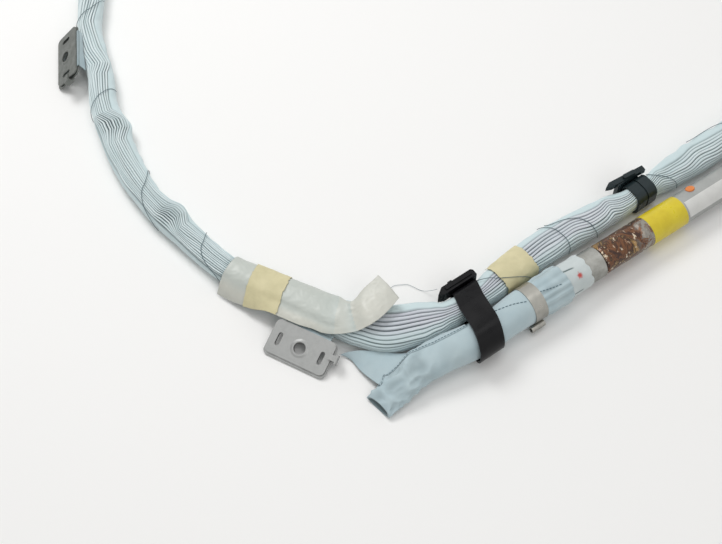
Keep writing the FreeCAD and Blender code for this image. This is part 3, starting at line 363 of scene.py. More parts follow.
# The fine noise places small painted glints over the stain.
fine = put(tree, "ShaderNodeTexNoise", {"Scale": 260.0, "Detail": 4.0, "Roughness": 0.6})
glints = ramp(tree, [(0.60, (0, 0, 0)), (0.65, (1, 1, 1))])
parts = put(tree, "ShaderNodeSeparateXYZ")
near_end = put(tree, "ShaderNodeMapRange", {"From Min": BARE_FROM, "From Max": BARE_FULL})
cloud = ramp(tree, [(0.46, (0, 0, 0)), (0.52, (1, 1, 1))])
both = put(tree, "ShaderNodeMath", operation="MULTIPLY")
join(tree, (where, "Object", twist, "Vector"), (twist, 0, pull, 0), (pull, 0, big, "Vector"),
     (big, "Fac", stain, "Fac"), (pull, 0, fine, "Vector"), (fine, "Fac", glints, "Fac"),
     (twist, 0, parts, 0), (parts, "X", near_end, "Value"), (big, "Fac", cloud, "Fac"),
     (near_end, "Result", both, 0), (cloud, "Color", both, 1))
colour = towards(tree, stain.outputs["Color"], GLINT_COLOUR, glints.outputs["Color"])
colour = towards(tree, colour, BARE_COLOUR, both.outputs[0])
tree.links.new(colour, shader.inputs["Base Color"])
gloss_and_relief(tree, shader, (fine, "Fac"), (0.22, 0.5), (fine, "Fac"), 0.25, 0.0002)
print("stain ramp has", len(stain.color_ramp.elements), "colours")

# %% [markdown]
# ## Painted, printed and moulded finishes
# The bottle's coat, the two labels, the orange seal and the black plastic differ in colour,
# grain and gloss only, so they share one function too.

# %% Coated and moulded finishes
def coat_finish(name, light, dark, rough, scale=60.0, grain=1500.0, bump=0.1, metallic=0.0,
                fold_colour=None):
    """A painted or moulded surface: two close shades in patches and a fine grain."""
    finish, tree, shader = new_finish(name, Metallic=metallic)
    where = put(tree, "ShaderNodeTexCoord")
    speck = put(tree, "ShaderNodeTexNoise", {"Scale": grain, "Detail": 2.0})
    join(tree, (where, "Object", speck, "Vector"))
    spots, colour = two_shades(tree, where, light, dark, scale)
    gloss_and_relief(tree, shader, (spots, "Mask"), (rough - 0.06, rough + 0.08),
                     (speck, "Fac"), bump)
    if fold_colour:
        colour = stored_shade(tree, colour, "fold", fold_colour)
    tree.links.new(colour, shader.inputs["Base Color"])
    return finish


bottle_coat = coat_finish("bottle coat", (0.40, 0.41, 0.40), (0.33, 0.34, 0.33), 0.34,
                          metallic=0.45)
yellow_print = coat_finish("yellow label", (0.70, 0.57, 0.025), (0.62, 0.48, 0.02), 0.32)
white_print = coat_finish("white label", (0.70, 0.70, 0.68), (0.62, 0.62, 0.60), 0.4)
orange_seal = coat_finish("orange seal", (0.78, 0.24, 0.04), (0.66, 0.18, 0.03), 0.3)
black_plastic = coat_finish("black plastic", (0.004, 0.004, 0.005), (0.007, 0.007, 0.008), 0.3,
                            grain=2600.0, bump=0.2)
clip_plastic = coat_finish("clip plastic", (0.012, 0.020, 0.023), (0.018, 0.028, 0.031), 0.3,
                           grain=2600.0, bump=0.2)
for finish, level in ((black_plastic, 0.14), (clip_plastic, 0.25)):
    finish.node_tree.nodes["Principled BSDF"].inputs["Specular IOR Level"].default_value = level
# The film's fold colour gives a painted shade along its crease and tints it where it lies on the
# bundle.
film_skin = coat_finish("wrap film", (0.60, 0.60, 0.54), (0.53, 0.54, 0.49), 0.42, 35.0, 900.0,
                        0.25, fold_colour=(0.46, 0.52, 0.50))
# The tape's fold colour is a painted shade along its folded edge.
tape_paper = coat_finish("tape paper", (0.67, 0.61, 0.38), (0.59, 0.54, 0.33), 0.65, 70.0, 1600.0,
                         0.6, fold_colour=(0.30, 0.27, 0.12))
print("coats", [finish.name for finish in (
    bottle_coat, yellow_print, white_print, orange_seal, black_plastic, clip_plastic, film_skin,
    tape_paper)])

# %% [markdown]
# ## Rigid pieces
# These keep the frame's shape, so all they need is a finish in their material slots.


# %% Finishes on the rigid pieces
def finish_nodes(finish, *names):
    """Give a finish to pieces of the frame."""
    for name in names:
        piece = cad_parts[name]
        if not piece.material_slots:
            piece.data.materials.append(finish)
        for place in piece.material_slots:
            place.material = finish


finish_nodes(zinc, "middle_bracket_front", "middle_bracket_back")
finish_nodes(dull_steel, "end_bracket_front", "end_bracket_back")
finish_nodes(band_steel, "hose_clamp_band", "hose_clamp_pin")
finish_nodes(neck_steel, "diffuser_neck", "end_closure")
finish_nodes(stained, "stained_chamber")
finish_nodes(bottle_coat, "gas_bottle")
finish_nodes(yellow_print, "yellow_band")
finish_nodes(white_print, "white_label")
finish_nodes(orange_seal, "fill_plug")
finish_nodes(pin_metal, "igniter_pins")
finish_nodes(black_plastic, "bundle_strap", "strap_head", "igniter_socket")
finish_nodes(clip_plastic, "bundle_clip", "clip_base")
print("rigid pieces finished")

# %% [markdown]
# ## The cushion's middle line
# A folded cushion is a long bundle. Its shape follows one rule: a section that slides along
# a smooth line and changes its width. These stops are the ones the solid was built from:
# x, y, width, height of the underside, and the two angles between which the pleats lie.

# %% Stops of the bundle
BUNDLE_STOPS = np.array([
    (-291, 476, 20, 0, 206, 60), (-290, 460, 27, 0, 206, 60), (-289, 395, 27, 0, 206, 60),
    (-287, 330, 27, 0, 206, 58), (-285, 294, 25, 0, 206, 56), (-278, 261, 27, 0, 200, 52),
    (-267, 227, 27, 0, 190, 50), (-261, 193, 28, 0, 176, 46), (-250, 162, 30, 0, 162, 40),
    (-237, 131, 31, 0, 154, 38), (-223, 103, 29, 0, 150, 36), (-207, 78, 26, 0, 148, 36),
    (-188, 56, 28, 0, 150, 36), (-168, 36, 27, 0, 154, 40), (-128, -2, 25, 0, 166, 52),
    (-85, -26, 30, 0, 184, 60), (-36, -50, 34, 0, 200, 64), (0, -64, 42, 0, 206, 66),
    (24, -68, 47, 0, 206, 68), (52, -63, 43, 0.6, 206, 70), (68, -59.3, 35, 1.8, 206, 74),
    (79.5, -55.7, 26, 2.6, 206, 80), (88.9, -50.2, 24.4, 2.6, 206, 84),
    (99.9, -42.3, 24.4, 2.6, 206, 84), (110.8, -34.5, 24.4, 2.6, 206, 82),
    (126, -20, 29, 1.4, 206, 76), (147, -2, 32, 0.4, 206, 66), (175, 21, 34, 0.2, 206, 62),
    (210, 43, 33, 0.4, 206, 64), (238, 60, 28, 1.4, 206, 70), (259.6, 72.3, 19.6, 2.6, 206, 78),
    (269.2, 79.5, 19.6, 2.6, 206, 78), (278.8, 86.8, 19.6, 2.6, 206, 78),
    (300, 103, 29, 1.0, 206, 76), (333, 127, 33, 0, 206, 74), (366, 151, 32, 0, 206, 74),
    (420, 186, 30, 0, 206, 78), (452, 206, 28, 0, 206, 80), (466, 215, 20, 0, 206, 80)], float)
BUNDLE_HEIGHT = 24.0
# How square the section is: 2 would be an ellipse.
ROUND_TOP, ROUND_FOOT = 2.5, 3.0


def smooth_through(marks, points):
    """A smooth curve through points at the given marks; returns a function of the mark."""
    gaps = np.diff(marks)
    count = len(marks)
    system = np.eye(count)
    right = np.zeros_like(points)
    for i in range(1, count - 1):
        system[i, i - 1:i + 2] = gaps[i - 1], 2 * (gaps[i - 1] + gaps[i]), gaps[i]
        ahead = (points[i + 1] - points[i]) / gaps[i]
        behind = (points[i] - points[i - 1]) / gaps[i - 1]
        right[i] = 6 * (ahead - behind)
    bend = np.linalg.solve(system, right)

    def curve(mark):
        mark = np.atleast_1d(mark)
        i = np.clip(np.searchsorted(marks, mark) - 1, 0, count - 2)
        gap = gaps[i][:, None]
        a = (marks[i + 1] - mark)[:, None] / gap
        b = 1 - a
        curved = (a ** 3 - a) * bend[i] + (b ** 3 - b) * bend[i + 1]
        return a * points[i] + b * points[i + 1] + curved * gap ** 2 / 6
    return curve


def fine_line(stops, count):
    """That many points on the smooth curve through stops one mark apart."""
    stops = np.asarray(stops, float)
    marks = np.arange(len(stops), dtype=float)
    return smooth_through(marks, stops)(np.linspace(0, marks[-1], count))


class Way:
    """A smooth way through points, measured by distance along it, with values that vary."""

    def __init__(self, places, values):
        steps = np.linalg.norm(np.diff(places, axis=0), axis=1)
        marks = np.concatenate(([0], np.cumsum(steps)))
        curve = smooth_through(marks, places)
        fine = np.linspace(0, marks[-1], 6000)
        line = curve(fine)
        self.travelled = np.concatenate(
            ([0], np.cumsum(np.linalg.norm(np.diff(line, axis=0), axis=1))))
        self.fine, self.curve = fine, curve
        self.stops = np.interp(marks, fine, self.travelled)
        self.length = self.travelled[-1]
        self.values = values

    def at(self, distance):
        """Points and forward directions at distances."""
        mark = np.interp(distance, self.travelled, self.fine)
        here = self.curve(mark)
        step = self.curve(np.minimum(mark + 0.5, self.fine[-1])) - self.curve(
            np.maximum(mark - 0.5, 0))
        return here, step / np.linalg.norm(step, axis=1)[:, None]

    def value(self, distance):
        """The values between the two nearest stops, eased."""
        k = np.clip(np.searchsorted(self.stops, distance) - 1, 0, len(self.stops) - 2)
        share = np.clip((distance - self.stops[k]) / (self.stops[k + 1] - self.stops[k]), 0, 1)
        share = (share * share * (3 - 2 * share))[:, None]
        return self.values[k] * (1 - share) + self.values[k + 1] * share


bundle = Way(BUNDLE_STOPS[:, :2], BUNDLE_STOPS[:, 2:])
print("bundle length", round(bundle.length, 1), "mm")

# %% [markdown]
# ## A point on the bundle
# Everything that lies on the bundle is placed by two numbers: how far along it is, and the
# angle round the section, from 0 on the far side over 90 on top to 180 on the near side.

# %% Points on the bundle
# Two places where the bundle was bent and bulges to the far side: distance, height.
BUCKLES = [(324.0, 3.5), (450.0, 4.5)]
BUCKLE_REACH = 13.0


def power(value, exponent):
    """A power that keeps the sign."""
    return np.sign(value) * np.abs(value) ** exponent


def on_bundle(distance, angle, offset=0.0):
    """Layout points for arrays of distance, angle in degrees and offset outwards."""
    distance, angle, offset = np.broadcast_arrays(
        np.asarray(distance, float), np.asarray(angle, float), np.asarray(offset, float))
    shape = distance.shape
    d, turn, out = distance.ravel(), np.radians(angle.ravel()), offset.ravel()
    here, ahead = bundle.at(d)
    side = np.stack((-ahead[:, 1], ahead[:, 0]), 1)
    width, foot = bundle.value(d)[:, :2].T
    roundness = np.where(np.sin(turn) > 0, ROUND_TOP, ROUND_FOOT)
    half = width / 2 + out
    for place, height in BUCKLES:
        bulge = height * np.exp(-((d - place) / BUCKLE_REACH) ** 2)
        half = half + np.where(np.cos(turn) > 0, bulge, 0)
    across = half * power(np.cos(turn), 2 / roundness)
    rise = (BUNDLE_HEIGHT / 2 + out) * power(np.sin(turn), 2 / roundness)
    height = np.maximum(foot + BUNDLE_HEIGHT / 2 + rise, 0.3)
    points = np.column_stack((here + side * across[:, None], height))
    return points.reshape(shape + (3,))


print("top of the bundle half way", on_bundle(bundle.length / 2, 90.0).round(1).tolist(), "mm")

# %% [markdown]
# ## Turning rows of points into a mesh
# Each soft piece below is a net of points, row after row. Two functions make the mesh: one
# joins the points into faces, the other adds the cloth's own measure as a UV map, so that
# threads follow the piece however it bends.

# %% Nets of points
def wobble(points, size, seed=0.0):
    """Smooth noise from -1 to 1 at layout points, with lumps of about the given size."""
    flat = np.asarray(points, float).reshape(-1, 3) / size + seed
    values = np.array([noise.noise(Vector(p)) for p in flat])
    return values.reshape(np.asarray(points).shape[:-1])


def net_object(name, net, finish, closed=False, stored=None, ends=False, keep=None):
    """A mesh object from rows of layout points, smooth, with UV in metres."""
    net = to_frame(net)
    rows, columns = net.shape[:2]
    index = np.arange(rows * columns).reshape(rows, columns)
    wrap = np.concatenate((index, index[:, :1]), 1) if closed else index
    faces = np.stack((wrap[:-1, :-1], wrap[1:, :-1], wrap[1:, 1:], wrap[:-1, 1:]), -1)
    faces = (faces.reshape(-1, 4) if keep is None else faces[keep]).tolist()
    points = net.reshape(-1, 3).tolist()
    if ends:
        for row, turned in ((0, False), (rows - 1, True)):
            middle = len(points)
            points.append(net[row].mean(0).tolist())
            for a, b in zip(wrap[row, :-1], wrap[row, 1:]):
                faces.append([int(b), int(a), middle] if turned else [int(a), int(b), middle])
    mesh = bpy.data.meshes.new(name)
    mesh.from_pydata(points, [], faces)
    along = np.zeros((rows, columns))
    along[1:] = np.cumsum(np.linalg.norm(np.diff(net, axis=0), axis=2), 0)
    round_it = np.zeros((rows, columns))
    round_it[:, 1:] = np.cumsum(np.linalg.norm(np.diff(net, axis=1), axis=2), 1)
    flat = np.zeros((len(points), 2))
    flat[:rows * columns] = np.stack((along.mean(1)[:, None] + 0 * along, round_it), -1).reshape(
        -1, 2)
    corners = np.zeros(len(mesh.loops), int)
    mesh.loops.foreach_get("vertex_index", corners)
    mesh.uv_layers.new(name="cloth").data.foreach_set("uv", flat[corners].ravel())
    for title, values in (stored or {}).items():
        layer = mesh.attributes.new(title, "FLOAT", "POINT")
        full = np.zeros(len(points))
        full[:rows * columns] = np.asarray(values).ravel()
        layer.data.foreach_set("value", full)
    mesh.shade_smooth()
    mesh.materials.append(finish)
    piece = add_object(name, mesh)
    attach(piece, "root")
    print(name, rows, "x", columns, "points")
    return piece


print("noise at three points", wobble([(1, 2, 3), (4, 5, 6), (7, 8, 9)], 5.0).round(2).tolist())

# %% [markdown]
# ## The folded cushion
# The cloth is folded to and fro, so the top shows the edges of many layers side by side:
# round ridges with sharp dark lines between them. The ridges wander and bunch up where the
# bundle was bent. A cloth simulation would take hours for this many layers, and its result
# couldn't be steered, so the ridges are shaped by a rule, with smooth noise for the wander.
#
# First the measures: rows run along the bundle, and columns cross the pleats, from the first
# fold on the near side up to the last one.

# %% Rows and columns of the cushion
PLEATS = 12
PLEAT_STEPS = 12
CUSHION_ROWS = 520
LOW_ANGLE = -12
distance = np.linspace(0, bundle.length, CUSHION_ROWS)[:, None]
pleat_start, pleat_end = bundle.value(distance[:, 0])[:, 2:].T[:, :, None]
share = np.linspace(0, 1, PLEATS * PLEAT_STEPS + 1)[None, :]
number = share * PLEATS
section_angle = np.linspace(LOW_ANGLE, 206, 1091)
section = on_bundle(150.0 + 0 * section_angle, section_angle)
section_way = np.concatenate(([0], np.cumsum(np.linalg.norm(np.diff(section, axis=0), axis=1))))


def round_the_section(angle):
    """How far round the section an angle lies, in millimetres."""
    return np.interp(angle, section_angle, section_way)


print("pleats", PLEATS, "each about", round(section_way[-1] / PLEATS, 1), "mm of the section")

# %% [markdown]
# Where the folds lie. Pleats have the same width in millimetres, not in degrees, so they are
# placed by the way round the section. On the left arm the last fold zigzags where the bundle
# gave way; at the right end all folds sway together. Slow noise moves each fold by itself.

# %% Where the folds lie
# Zigzags of the folds on the left arm: distance, and the angle of the last fold there.
ZIGZAG = np.array([
    (120, 58), (156, 39), (185, 67), (223, 50), (243, 24), (256, 58), (284, 64), (306, 72),
    (319, 24), (330, 24), (345, 60), (385, 50), (420, 45), (440, 40), (447, 22), (457, 22),
    (469, 58), (500, 46), (533, 50)], float)


def noise_on(*sizes):
    """Smooth noise over rows and columns, from up to three broadcast coordinates."""
    return wobble(np.stack(np.broadcast_arrays(*sizes), -1), 1.0)


on_arm = (distance > ZIGZAG[0, 0]) & (distance < ZIGZAG[-1, 0])
edge = np.where(on_arm, np.interp(distance, *ZIGZAG.T), pleat_end)
wave_part = np.clip((distance - 850) / 90, 0, 1)
phase = 2 * math.pi * (distance / 43 + 0.35 * np.sin(distance / 31))
sway = wave_part * (1.7 * np.sin(phase + 0.6 * np.cos(phase)) + 0.7 * np.sin(distance / 11))
quiet = 1 - 0.75 * np.exp(-((distance - 720) / 130) ** 4)
drift = noise_on(distance / 24, number * 0.30, 3.1 + 0 * distance)
slow = noise_on(distance / 85, number * 0.2, 7.0 + 0 * distance)
ease = np.sin(math.pi / 2 * np.minimum(share / 0.55, 1))
inside = np.sin(math.pi * share) ** 0.5
fold_way = round_the_section(pleat_start)
plain_end = round_the_section(pleat_end)
fold_way = fold_way + (plain_end - fold_way) * share
fold_way = fold_way + (round_the_section(edge) - plain_end + sway) * ease
fold_way = fold_way + inside * (1.1 * quiet * drift + 0.8 * slow)
pleat_angle = np.interp(fold_way, section_way, section_angle)
print("folds lie between", round(pleat_angle.min(), 1), "and", round(pleat_angle.max(), 1), "deg")

# %% [markdown]
# How deep they are. A sine raised to a low power has round tops and sharp valleys, which is
# how layers of cloth meet. Valleys open wider at the buckles. Beside the pleats come the
# plain panel on the far side, which lies more loosely towards both ends of the bundle, and
# then the underside. Film and tape press pleats and panel down a little.

# %% How deep the folds are
HELD_DOWN = ((524, 668), (806, 852))
kink = 0 * distance
for place, _ in BUCKLES:
    kink = kink + np.exp(-((distance - place) / 9) ** 2)
pinch = noise_on(distance / 40, number * 0.5, 21.0 + 0 * distance)
wave = np.abs(np.sin(math.pi * (number + 0.25 * pinch * inside)))
valley = 1 - wave ** (0.45 + 0.45 * np.clip(kink, 0, 1))
depth = np.clip(0.85 + 0.9 * noise_on(
    distance / 60, np.round(number) * 3.7, 31.0 + 0 * distance), 0.4, 1.4)
layers = 1 - np.abs(np.sin(2 * math.pi * number)) ** 0.6
ridge = noise_on(distance / 34, np.floor(number) * 3.7, 2.0 + 0 * distance)
pleat_offset = -2.7 * (1 + 0.5 * kink) * valley * depth
pleat_offset = pleat_offset + 0.9 * ridge * (1 - valley) + 0.4 * drift
pleat_offset = pleat_offset - 0.25 * layers * (1 - valley)
panel_share = np.linspace(0, 1, 25)[None, 1:]
panel_edge = pleat_angle[:, -1:]
panel_angle = panel_edge + (LOW_ANGLE - panel_edge) * panel_share
scallop = noise_on(distance / 13, panel_share * 1.2, 4.0 + 0 * distance)
loose_panel = 0.7 + 1.6 * np.clip((distance - 1010) / 40, 0, 1) + 0.8 * (distance < 460)
panel_offset = loose_panel * scallop * np.sin(math.pi * panel_share) ** 0.4
foot_share = np.linspace(0, 1, 20)[None, 1:-1]
foot_angle = LOW_ANGLE + (pleat_start - 360 - LOW_ANGLE) * foot_share
foot_offset = 0.5 * noise_on(distance / 30, foot_angle / 40, 11.0 + 0 * distance)
pressed = 0 * distance
for first, last in HELD_DOWN:
    pressed = pressed + np.clip(np.minimum(distance - first, last - distance) / 8, 0, 1)
pleat_offset = pleat_offset - 0.6 * pressed
panel_offset = panel_offset * (1 - 0.6 * pressed)
print("deepest valley", round(-pleat_offset.min(), 1), "mm")

# %% [markdown]
# What the mesh stores. The finish reads three values for each point: how much painted shade it
# gets deep in a fold, how much painted highlight a ridge's top gets, and where the cloth turns
# lilac in the bundle's middle.

# %% The cushion's mesh and its stored values
angle = np.concatenate((pleat_angle, panel_angle, foot_angle), 1)
offset = np.concatenate((pleat_offset, panel_offset, foot_offset), 1)
plain = np.zeros_like(offset[:, share.shape[1]:])
# Painted shade in the pleats' valleys, darker at the buckles, with thin painted lines between the
# layers.
line = np.clip(valley ** 1.3 * 1.4, 0, 1) * np.clip(0.92 * depth + 0.7 * kink, 0.62, 1)
line = line + 0.12 * layers * (1 - valley)
deep = np.concatenate((np.clip(line, 0, 1), plain), 1)
left_arm = distance < 530
# Painted highlight on the ridge tops, strongest on the left arm and towards the right end.
ridge_highlight = np.clip(1.5 - 3.2 * valley, 0, 1) * (0.30 + 0.35 * left_arm + 0.25 * wave_part)
ridge_highlight = ridge_highlight * np.clip(0.9 + 0.8 * ridge, 0.2, 1.2) * np.clip(share / 0.04, 0, 1)
crest = np.concatenate((ridge_highlight, plain), 1)
middle_part = np.clip((distance - 610) / 60, 0, 1) * np.clip((1000 - distance) / 80, 0, 1)
upper = 1 / (1 + np.exp((angle - 118) / 6))
lilac = middle_part * upper * np.clip(0.75 + 0.5 * noise_on(distance / 50, angle / 50, 5.0), 0, 1)
lilac[:, share.shape[1]:] = 0
cushion_net = on_bundle(distance + 0 * angle, angle, offset - 0.2)
cushion = net_object("cushion", cushion_net, cushion_cloth, closed=True,
                     stored={"fold": deep, "tint": lilac, "crest": crest}, ends=True)
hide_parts("folded_cushion")

# %% [markdown]
# ## The inflator's axis
# The inflator is straight and drops a little from the clamp to its far end. All that sits
# round it is placed by distance, radius and turn; the clamp lies 86 mm before the chamber.

# %% Inflator's axis
INFLATOR_TURN = math.radians(34.8)
CLAMP = -86.0
CLAMP_HEIGHT, END_HEIGHT = 18.8, 15.3
CLAMP_TO_END = 350.0
AXIS_DROP = math.asin((CLAMP_HEIGHT - END_HEIGHT) / CLAMP_TO_END)
axis_ahead = np.array((math.cos(INFLATOR_TURN) * math.cos(AXIS_DROP),
                       math.sin(INFLATOR_TURN) * math.cos(AXIS_DROP), -math.sin(AXIS_DROP)))
axis_near = np.array((math.sin(INFLATOR_TURN), -math.cos(INFLATOR_TURN), 0.0))
axis_up = np.cross(axis_near, axis_ahead)
axis_start = np.array((226.5, 4.1, CLAMP_HEIGHT + CLAMP * math.sin(AXIS_DROP)))


def on_axis(distance, radius, turn):
    """Layout point round the inflator: turn 0 towards the near side, 90 up."""
    turn = np.radians(turn)
    out = np.cos(turn)[..., None] * axis_near + np.sin(turn)[..., None] * axis_up
    return axis_start + np.asarray(distance)[..., None] * axis_ahead + np.asarray(
        radius)[..., None] * out


print("inflator starts at", axis_start.round(1).tolist(), "and runs", axis_ahead.round(3).tolist())

# %% [markdown]
# ## The fill sleeve
# The sleeve is a cloth tube: flat and open at its tail, round where the clamp holds it on
# the inflator's neck. It is made as the cushion is, by a section that slides along a line,
# and noise with sharp crests gives the creases of flattened cloth, with a painted shade in
# their valleys and between the gathers. The stops give the tube's middle, its half width, its
# half height and how loose the cloth lies there. Its first rows are turned in and get a
# painted shade, so that the open tail shows a dark mouth.

# %% Fill sleeve
SLEEVE_ROWS, SLEEVE_COLUMNS = 230, 96
TURNED_IN = 14
MOUTH_SHARE = 0.82
GATHERS = 13
sleeve_stops = [
    (15.0, -143.5, 3.8, 14.5, 3.4, 1.0), (25.5, -133.5, 6.6, 15.6, 6.0, 1.0),
    (36.7, -123.6, 10.1, 16.4, 9.2, 1.0), (50.0, -111.2, 13.5, 16.8, 12.2, 1.0),
    (61.0, -104.4, 15.1, 16.8, 13.4, 0.9), (74.0, -97.4, 16.6, 16.8, 14.4, 0.7),
    (101.0, -85.0, 18.2, 16.2, 15.6, 0.15), (127.5, -66.4, 18.7, 16.2, 16.1, 0.3)]
for reach, radius, loose in ((-9, 17.3, 0.15), (0, 17.2, 0), (9, 17.3, 0.15), (16, 18.4, 1),
                             (23, 17.9, 0.8), (30, 18.5, 1), (38, 18.1, 0.6)):
    middle = axis_start + axis_ahead * (CLAMP + reach)
    sleeve_stops.append((*middle, radius, radius, loose))
sleeve_stops = np.array(sleeve_stops)
sleeve_way = Way(sleeve_stops[:, :3], sleeve_stops[:, 3:])
distance = np.linspace(0, sleeve_way.length, SLEEVE_ROWS)
centre, ahead = sleeve_way.at(distance)
side = np.stack((-ahead[:, 1], ahead[:, 0], 0 * ahead[:, 0]), 1)
side /= np.linalg.norm(side, axis=1)[:, None]
half_width, half_height, loose = sleeve_way.value(distance).T
turn = np.linspace(0, 2 * math.pi, SLEEVE_COLUMNS, endpoint=False)
across = half_width[:, None] * power(np.cos(turn), 0.9)
rise = half_height[:, None] * power(np.sin(turn), 0.9)
sleeve_net = centre[:, None] + side[:, None] * across[..., None]
sleeve_net[..., 2] += rise


def creases(size, density, seed):
    """Noise with sharp crests over the sleeve's rows and columns."""
    rough = noise_on(distance[:, None] / size, np.cos(turn) * density,
                     np.sin(turn) * density + seed)
    return 1 - 2.2 * np.abs(rough) ** 0.85


crease = creases(17, 1.1, 2.2)
small = creases(7, 2.4, 8.0)
tail_part = np.clip((62 - distance) / 22, 0, 1) * np.clip(distance / 5, 0.3, 1)
late = (distance > sleeve_way.stops[9]) * 1.0
gather = np.sin(turn * GATHERS + 1.5 * np.sin(turn * 3))[None, :] * late[:, None] * 0.6
calm = 0.35 * loose + 1.6 * tail_part
push = calm[:, None] * (1.3 * (crease - 0.75) + 0.45 * (small - 0.6)) + gather
out = sleeve_net - centre[:, None]
out /= np.linalg.norm(out, axis=2)[..., None] + 1e-9
sleeve_net = sleeve_net + out * push[..., None]
lip = 2.6 * np.clip(1 - distance / 12, 0, 1)[:, None] * np.clip(np.sin(turn), 0, 1)
sleeve_net = sleeve_net + ahead[:, None] * lip[..., None]
sleeve_net[..., 2] = np.maximum(sleeve_net[..., 2], 0.35)
# Painted shade in the valleys of the creases and between the gathers.
fold = np.clip(0.75 - crease, 0, 1) * 0.35 * np.clip(calm, 0, 1)[:, None]
fold = fold + 0.25 * np.clip(-gather, 0, 1)
mouth_centre = centre[:TURNED_IN, None]
inner = mouth_centre + (sleeve_net[:TURNED_IN] - mouth_centre) * MOUTH_SHARE
sleeve_net = np.concatenate((inner[::-1], sleeve_net), 0)
# Painted shade on the turned-in rows inside the mouth.
fold = np.concatenate((0.75 * np.ones((TURNED_IN, SLEEVE_COLUMNS)), fold), 0)
sleeve = net_object("sleeve", sleeve_net[:, ::-1], sleeve_cloth, closed=True,
                    stored={"fold": fold[:, ::-1]}, ends=True)
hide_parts("inlet_sleeve")

# %% [markdown]
# ## Sheets
# Film, tapes and the throat panel are thin sheets. Each starts as a few rows of points, the
# same as its solid's; a smooth curve through them gives a fine net, noise crumples it, and a
# Solidify modifier gives it its thickness.

# %% Sheet helpers
def finer(net, rows, columns):
    """A fine net through a coarse one, by smooth curves both ways."""
    net = np.asarray(net, float)
    for axis, count in ((0, rows), (1, columns)):
        net = np.moveaxis(net, axis, 0)
        flat = fine_line(net.reshape(net.shape[0], -1), count)
        net = np.moveaxis(flat.reshape((count,) + net.shape[1:]), 0, axis)
    return net


def outward(net):
    """Directions out of a net."""
    along = np.gradient(net, axis=0)
    across = np.gradient(net, axis=1)
    out = np.cross(across, along)
    return out / (np.linalg.norm(out, axis=2)[..., None] + 1e-12)


def crumple(net, height, size, seed):
    """Push a net in and out by sharp-crested noise."""
    crest = 1 - 2 * np.abs(wobble(net, size, seed))
    return net + outward(net) * (height * (crest - 0.6))[..., None]


def between(net, row, column):
    """Points of a net at fractional rows and columns."""
    row, column = np.broadcast_arrays(np.asarray(row, float), np.asarray(column, float))
    i = np.clip(row.astype(int), 0, net.shape[0] - 2)
    j = np.clip(column.astype(int), 0, net.shape[1] - 2)
    a, b = (row - i)[..., None], (column - j)[..., None]
    low = net[i, j] * (1 - b) + net[i, j + 1] * b
    high = net[i + 1, j] * (1 - b) + net[i + 1, j + 1] * b
    return low * (1 - a) + high * a


def net_sizes(net):
    """Mean length across, mean length along, and area, in metres."""
    across = np.linalg.norm(np.diff(net, axis=1), axis=2).sum(1).mean() * MM
    along = np.linalg.norm(np.diff(net, axis=0), axis=2).sum(0).mean() * MM
    a = net[1:, :-1] - net[:-1, :-1]
    b = net[:-1, 1:] - net[:-1, :-1]
    area = np.linalg.norm(np.cross(a, b), axis=2).sum() * MM * MM
    return across, along, area


def thicken(piece, thickness):
    """Give a net its thickness, outwards, in millimetres."""
    wall = piece.modifiers.new("thickness", "SOLIDIFY")
    wall.thickness = thickness * MM
    wall.offset = 1.0


def sheet_object(name, net, finish, thickness, node, slot_name, held, rests_on, stored=None,
                 **settings):
    """A sheet piece that stands for a node: a net with its thickness, and the node's solid hidden.
    """
    stored = {title: values[:, ::-1] for title, values in (stored or {}).items()}
    piece = net_object(name, net[:, ::-1], finish, stored=stored, **settings)
    thicken(piece, thickness)
    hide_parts(node)


square = finer([[(0, 0, 0), (0, 10, 0)], [(10, 0, 0), (10, 10, 0)]], 5, 5)
print("a 10 mm square measures", [round(size, 6) for size in net_sizes(square)])

# %% [markdown]
# ## Cover film
# The film is wound round the bundle and hangs down at the near side. Past the wrap it leaves
# the bundle as a free flap, which is turned up and creased where it changes direction.

# %% Cover film
FILM_START = 533.3
FILM_ROWS, FILM_COLUMNS = 170, 90
ROWS_A_STEP = 13.0
FLAP_CURL = 2.0
# Steps of the stops at which the flap comes free, is creased, and a painted shade marks the pocket
# behind it.
FREE_STEP, CREASE_STEP, POCKET_STEP = 8.3, 9.9, 8.6
# Along the wrap: distance, angle of the far edge, how far the near edge stands off and how high.
film_stops = [(0, -8, 10, 2), (14, -8, 10, 4), (28, -8, 9.5, 7.5), (40, -8, 9, 11),
              (52, -5, 8.8, 16.2), (64, 0, 8.5, 17.4), (76, 6, 8, 17.6), (88, 14, 7, 17.6),
              (99, 25, 5.5, 17.6), (110, 40, 4.5, 18.2)]
film_rows = []
for reach, far_angle, spread, hem in film_stops:
    place = FILM_START + reach
    row = list(on_bundle(place, np.linspace(far_angle, 140, 8), 1.2))
    here, ahead = bundle.at(np.array([place]))
    side = np.array((-ahead[0, 1], ahead[0, 0], 0))
    half = bundle.value(np.array([place]))[0, 0] / 2
    last = np.array((*here[0], 0)) - side * (half + spread) + (0, 0, hem)
    row.append((row[-1] + last) / 2 - side * spread * 0.15)
    row.append(last)
    film_rows.append(row)
